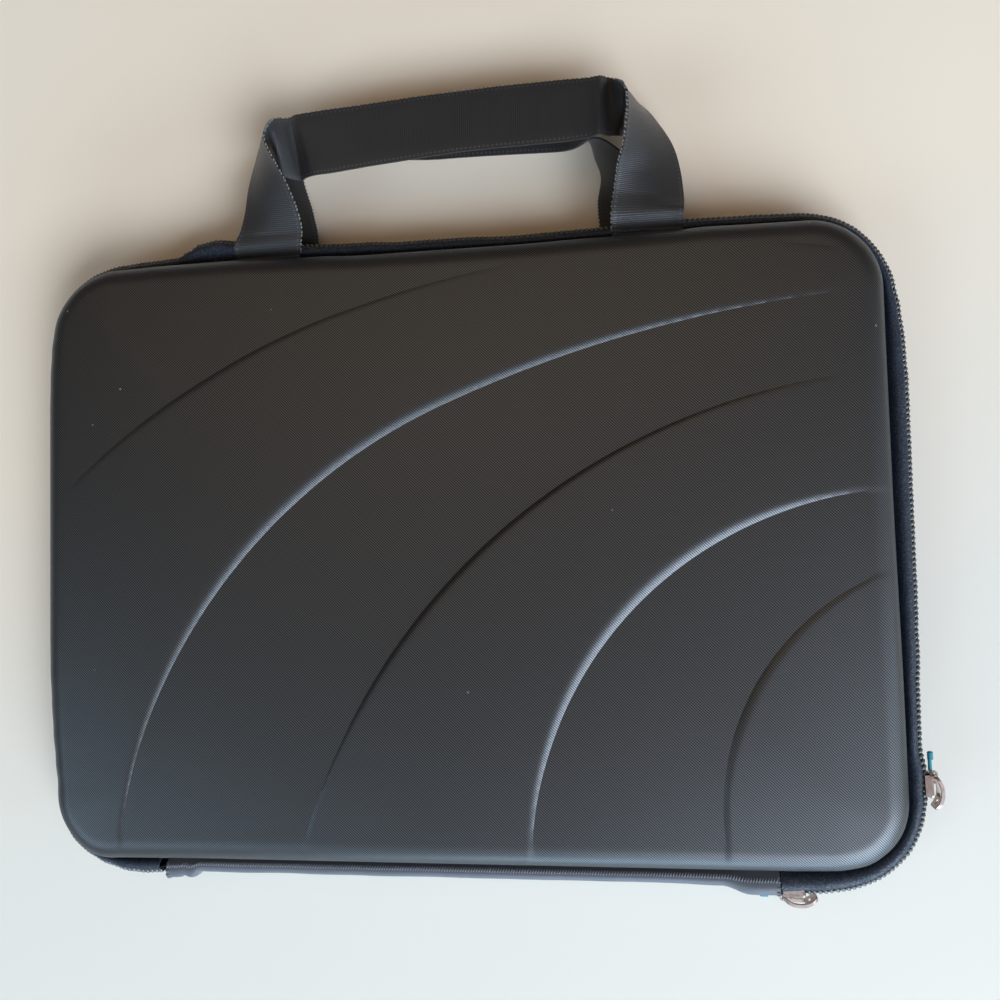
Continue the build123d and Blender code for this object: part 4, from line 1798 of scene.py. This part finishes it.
@dataclass
class Inside:
    """Lining and rim binding of both halves, corner straps and the mesh pocket."""

    cavity: float = 6.15
    strap_width: float = 18.0
    strap_line: float = 214.0
    pocket_half: float = 138.0
    pocket_low: float = -111.0
    pocket_high: float = 42.0
    pocket_hem: float = 4.5
    pocket_level: float = 23.85

    def build(self, finishes: Materials) -> None:
        """Builds everything that shows when the case is open.

        Args:
            finishes: every material, by its use.
        """
        for half in Half:
            Shell(half, cell=5.0, dome=0.0).build_lining(finishes["lining"])
            self._binding(half, finishes["binding"])
        for sign_y, edge in ((1, "front"), (-1, "spine")):
            for sign_x, side in ((1, "right"), (-1, "left")):
                self._strap(f"strap_{edge}_{side}", sign_x, sign_y, finishes["elastic"])
        self._pocket(finishes)

    def _binding(self, half: Half, finish: Material) -> None:
        """Ribbed tape sewn round the rim inside one shell.

        Args:
            half: the half that it belongs to.
            finish: the material of the piece.
        """
        rim = Rim(start=0.0)
        section = ((-5.3, 9.1), (-5.45, 7.4), (-5.35, 5.2), (-5.2, 3.7))

        def spot(on: Vector, across: float, along: float) -> Vector:
            """A point of the binding."""
            point, outward, _ = rim.at(along * rim.length)
            place = point + outward * (on.x + 0.12 * drift(along * 160.0, across))
            place += drawn_in(place.x, place.y)
            place.z = half.height(on.y)
            return place

        size = (5.6, rim.length - FULL_TURN * 5.35)
        piece = Bench.band(f"{half.body}_rim_binding", section, (6, 420), size, spot, 0.7)
        Bench.apply(piece, "WELD", merge_threshold=0.00005)
        finish_piece(piece, finish, [f"{half.body}_binding"], half.body)

    def _strap(self, name: str, sign_x: int, sign_y: int, finish: Material) -> None:
        """Ribbed elastic drawn across one corner of the base.

        Args:
            name: name of the piece.
            sign_x: 1 for the right corner, -1 for the left one.
            sign_y: 1 at the handles, -1 at the spine.
            finish: the material of the piece.
        """
        half_x, half_y = CASE.half_length - self.cavity, CASE.half_depth - self.cavity

        def place(across: float, along: float) -> Vector:
            """A point of the strap."""
            line = self.strap_line + self.strap_width * math.sqrt(2) * across
            spot = Vector((half_x, line - half_x, 0)).lerp(Vector((line - half_y, half_y, 0)), along)
            rise = 0.25 * math.sin(math.pi * along) + 0.06 * math.sin(across * 9 * math.pi)
            return Vector((spot.x * sign_x, spot.y * sign_y, 10.55 + rise))

        piece = Bench.cloth(f"{name}_elastic", (18, 60), (self.strap_width, 75.0), place, 0.9)
        finish_piece(piece, finish, [name], "base")

    def _pocket(self, finishes: Materials) -> None:
        """Net stretched over the lid's lower part, with a ribbed elastic hem.

        Args:
            finishes: every material, by its use.
        """
        half_x, low, level = self.pocket_half, self.pocket_low, self.pocket_level
        width, length = 2 * (half_x + self.pocket_hem), self.pocket_high - low + self.pocket_hem

        def place(across: float, along: float) -> Vector:
            """A point of the net, whose edges turn up to the lining."""
            x, y = (across - 0.5) * width, low - self.pocket_hem + length * along
            over = max(abs(x) - half_x, low - y, 0.0)
            x, y = max(-half_x, min(half_x, x)), max(low, y)
            loose = min(1.0, (half_x - abs(x)) / 20, (y - low) / 20)
            return Vector((x, y, level + over + 0.5 * drift(x * 0.02, y * 0.03, 4.0) * loose))

        def hem_place(across: float, along: float) -> Vector:
            """A point of the hem, which is rolled round the net's edge."""
            turn = FULL_TURN * across
            x = (along - 0.5) * 2 * half_x
            gather = 1 + 0.1 * math.sin(along * 2 * half_x * 2.2)
            return Vector((x, 43.6 + 1.5 * math.cos(turn) * gather, level + 0.6 * math.sin(turn) * gather))

        net = Bench.cloth("mesh_pocket_net", (90, 52), (width, length), place, 0.35)
        finish_piece(net, finishes["net"], ["mesh_pocket"], "lid")
        hem = Bench.cloth("pocket_elastic_hem", (12, 276), (8.0, 2 * half_x), hem_place, 0.0)
        Bench.apply(hem, "WELD", merge_threshold=0.00002)
        Bench.face_outwards(hem, close=True)
        finish_piece(hem, finishes["elastic"], ["pocket_hem"], "lid")


@dataclass
class Sliders:
    """The two sliders and pulls keep their solids and get plated metal; the ties are wound thread."""

    marks: tuple[str, ...] = ("a", "b")
    uses: tuple[tuple[str, str], ...] = (("slider", "metal"), ("puller", "metal"), ("pull_cord", "tie"))

    def build(self, finishes: Materials) -> None:
        """Dresses the sliders, pulls and ties.

        Args:
            finishes: every material, by its use.
        """
        for mark in self.marks:
            for kind, use in self.uses:
                node = frame["nodes"][f"{kind}_{mark}"]
                for slot in node.material_slots:
                    slot.material = finishes[use]
                LOG.info("%s: dressed", node.name)


# ---------------------------------------------------------------- studio


@dataclass(frozen=True)
class Lamp:
    """One soft rectangular lamp aimed at a point, in metres and watts."""

    name: str
    place: Numbers
    size: tuple[float, float]
    power: float
    colour: Numbers
    aim: Numbers = (0.0, 0.0, 0.0)

    def build(self) -> None:
        """Hangs the lamp."""
        data = bpy.data.lights.new(self.name, "AREA")
        data.shape = "RECTANGLE"
        data.size, data.size_y = self.size
        data.energy = self.power
        data.color = self.colour
        lamp = bpy.data.objects.new(self.name, data)
        bpy.context.scene.collection.objects.link(lamp)
        lamp.location = self.place
        lamp.rotation_euler = (Vector(self.aim) - Vector(self.place)).to_track_quat("-Z", "Y").to_euler()


LAMPS = (
    Lamp("window", (1.45, -1.88, 2.05), (2.2, 1.5), 114.0, (0.68, 0.8, 0.98)),
    Lamp("low_window", (0.8, -2.6, 0.75), (3.2, 0.9), 74.0, (0.5, 0.75, 1.0), (0.0, 0.0, 0.1)),
    Lamp("side_window", (2.6, -0.9, 1.0), (1.6, 1.0), 17.0, (0.68, 0.84, 1.0)),
    Lamp("left_wall", (-1.6, -1.2, 1.4), (1.5, 1.2), 18.0, (0.52, 0.77, 1.0)),
    Lamp("room_lamp", (-0.3, 0.9, 2.4), (2.0, 1.4), 5.0, (1.0, 0.76, 0.52), (0.0, 0.1, 0.0)),
)


@dataclass
class Studio:
    """Pale floor, soft lights and the camera above the lid."""

    camera_place: tuple[float, float, float] = (81.461, -2.336, 411.438)
    camera_turn: tuple[float, float, float] = (0.0253, -0.055, -0.1531)
    backdrop: Colour = (0.72, 0.7, 0.65, 1.0)

    def build(self) -> None:
        """Builds the floor, the camera, the lights and the room."""
        self._floor()
        self._camera()
        for lamp in LAMPS:
            lamp.build()
        self._room()
        bpy.context.scene.view_settings.view_transform = "Standard"

    def _room(self) -> None:
        """Plain room round the table, lighter on the window's side."""
        world = bpy.data.worlds.new("room")
        world.use_nodes = True
        bpy.context.scene.world = world
        graph = Graph(world.node_tree)
        where = graph.add("TexCoord").outputs["Generated"]
        lean = graph.add("VectorMath", {0: where, 1: (0.3, -0.55, 0.78)}, operation="DOT_PRODUCT")
        share = graph.span(lean.outputs["Value"], 0.15, 0.85)
        colour = graph.mix(share, (0.07, 0.055, 0.042, 1.0), (0.14, 0.105, 0.075, 1.0))
        seen = graph.mix(graph.add("LightPath").outputs["Is Camera Ray"], colour, self.backdrop)
        graph.add("OutputWorld", {0: graph.add("Background", {0: seen}).outputs[0]})

    def _camera(self) -> None:
        """Camera looking down at the lid."""
        data = bpy.data.cameras.new("camera")
        data.sensor_width = data.lens = 36.0
        data.clip_start = 0.01
        camera = bpy.data.objects.new("camera", data)
        bpy.context.scene.collection.objects.link(camera)
        turn = Matrix.Identity(3)
        for angle, axis in zip(self.camera_turn, "ZXY"):
            turn = turn @ Matrix.Rotation(angle, 3, axis)
        place = Matrix.Translation(Vector(self.camera_place) * MM)
        camera.matrix_world = place @ turn.transposed().to_4x4()
        bpy.context.scene.camera = camera

    def _floor(self) -> None:
        """Table top painted warmer and lighter towards the handles as painted light of the warm room there,
        and plain far from the case.
        """
        floor = Bench.grid("table", (4, 4), 6.0, height=-0.0002)
        material, graph = begin_material("table_top")
        where = graph.add("TexCoord").outputs["Object"]
        x, y, _ = graph.split(where)
        # Painted light: the colour grows warmer and lighter towards the handles, standing in for the warm
        # room light that falls there.
        share = graph.span(graph.times(x, -0.3, y), -0.08, 0.1)
        shader = graph.add("BsdfPrincipled", {
            "Base Color": graph.mix(share, (0.84, 0.76, 0.64, 1.0), (0.97, 0.8, 0.61, 1.0)), "Roughness": 0.6,
        })
        reach = graph.add("VectorMath", {0: where}, operation="LENGTH").outputs["Value"]
        seen = graph.times(graph.span(reach, 0.32, 0.85), graph.add("LightPath").outputs["Is Camera Ray"])
        plain = graph.add("Emission", {"Color": self.backdrop})
        surface = graph.add("MixShader", {0: seen, 1: shader.outputs[0], 2: plain.outputs[0]})
        graph.add("OutputMaterial", {"Surface": surface.outputs[0]})
        floor.data.materials.append(material)


def main() -> None:
    """Builds every sub-assembly in turn."""
    finishes = {use: finish.build() for use, finish in FINISHES.items()}
    Shell(Half.LID, lid_fields()).build(finishes["shell"])
    Shell(Half.BASE, cell=2.5, dome=0.3).build(finishes["shell"])
    for half in Half:
        ZipSide(half).build(finishes)
    for half in Half:
        Spine(half).build(finishes)
    Handle(Half.LID, FRONT_STATIONS).build(finishes)
    Handle(Half.BASE, BACK_STATIONS).build(finishes)
    Inside().build(finishes)
    Sliders().build(finishes)
    Studio().build()


if __name__ == "__main__":
    logging.basicConfig(level=logging.INFO, format="%(message)s")
    main()
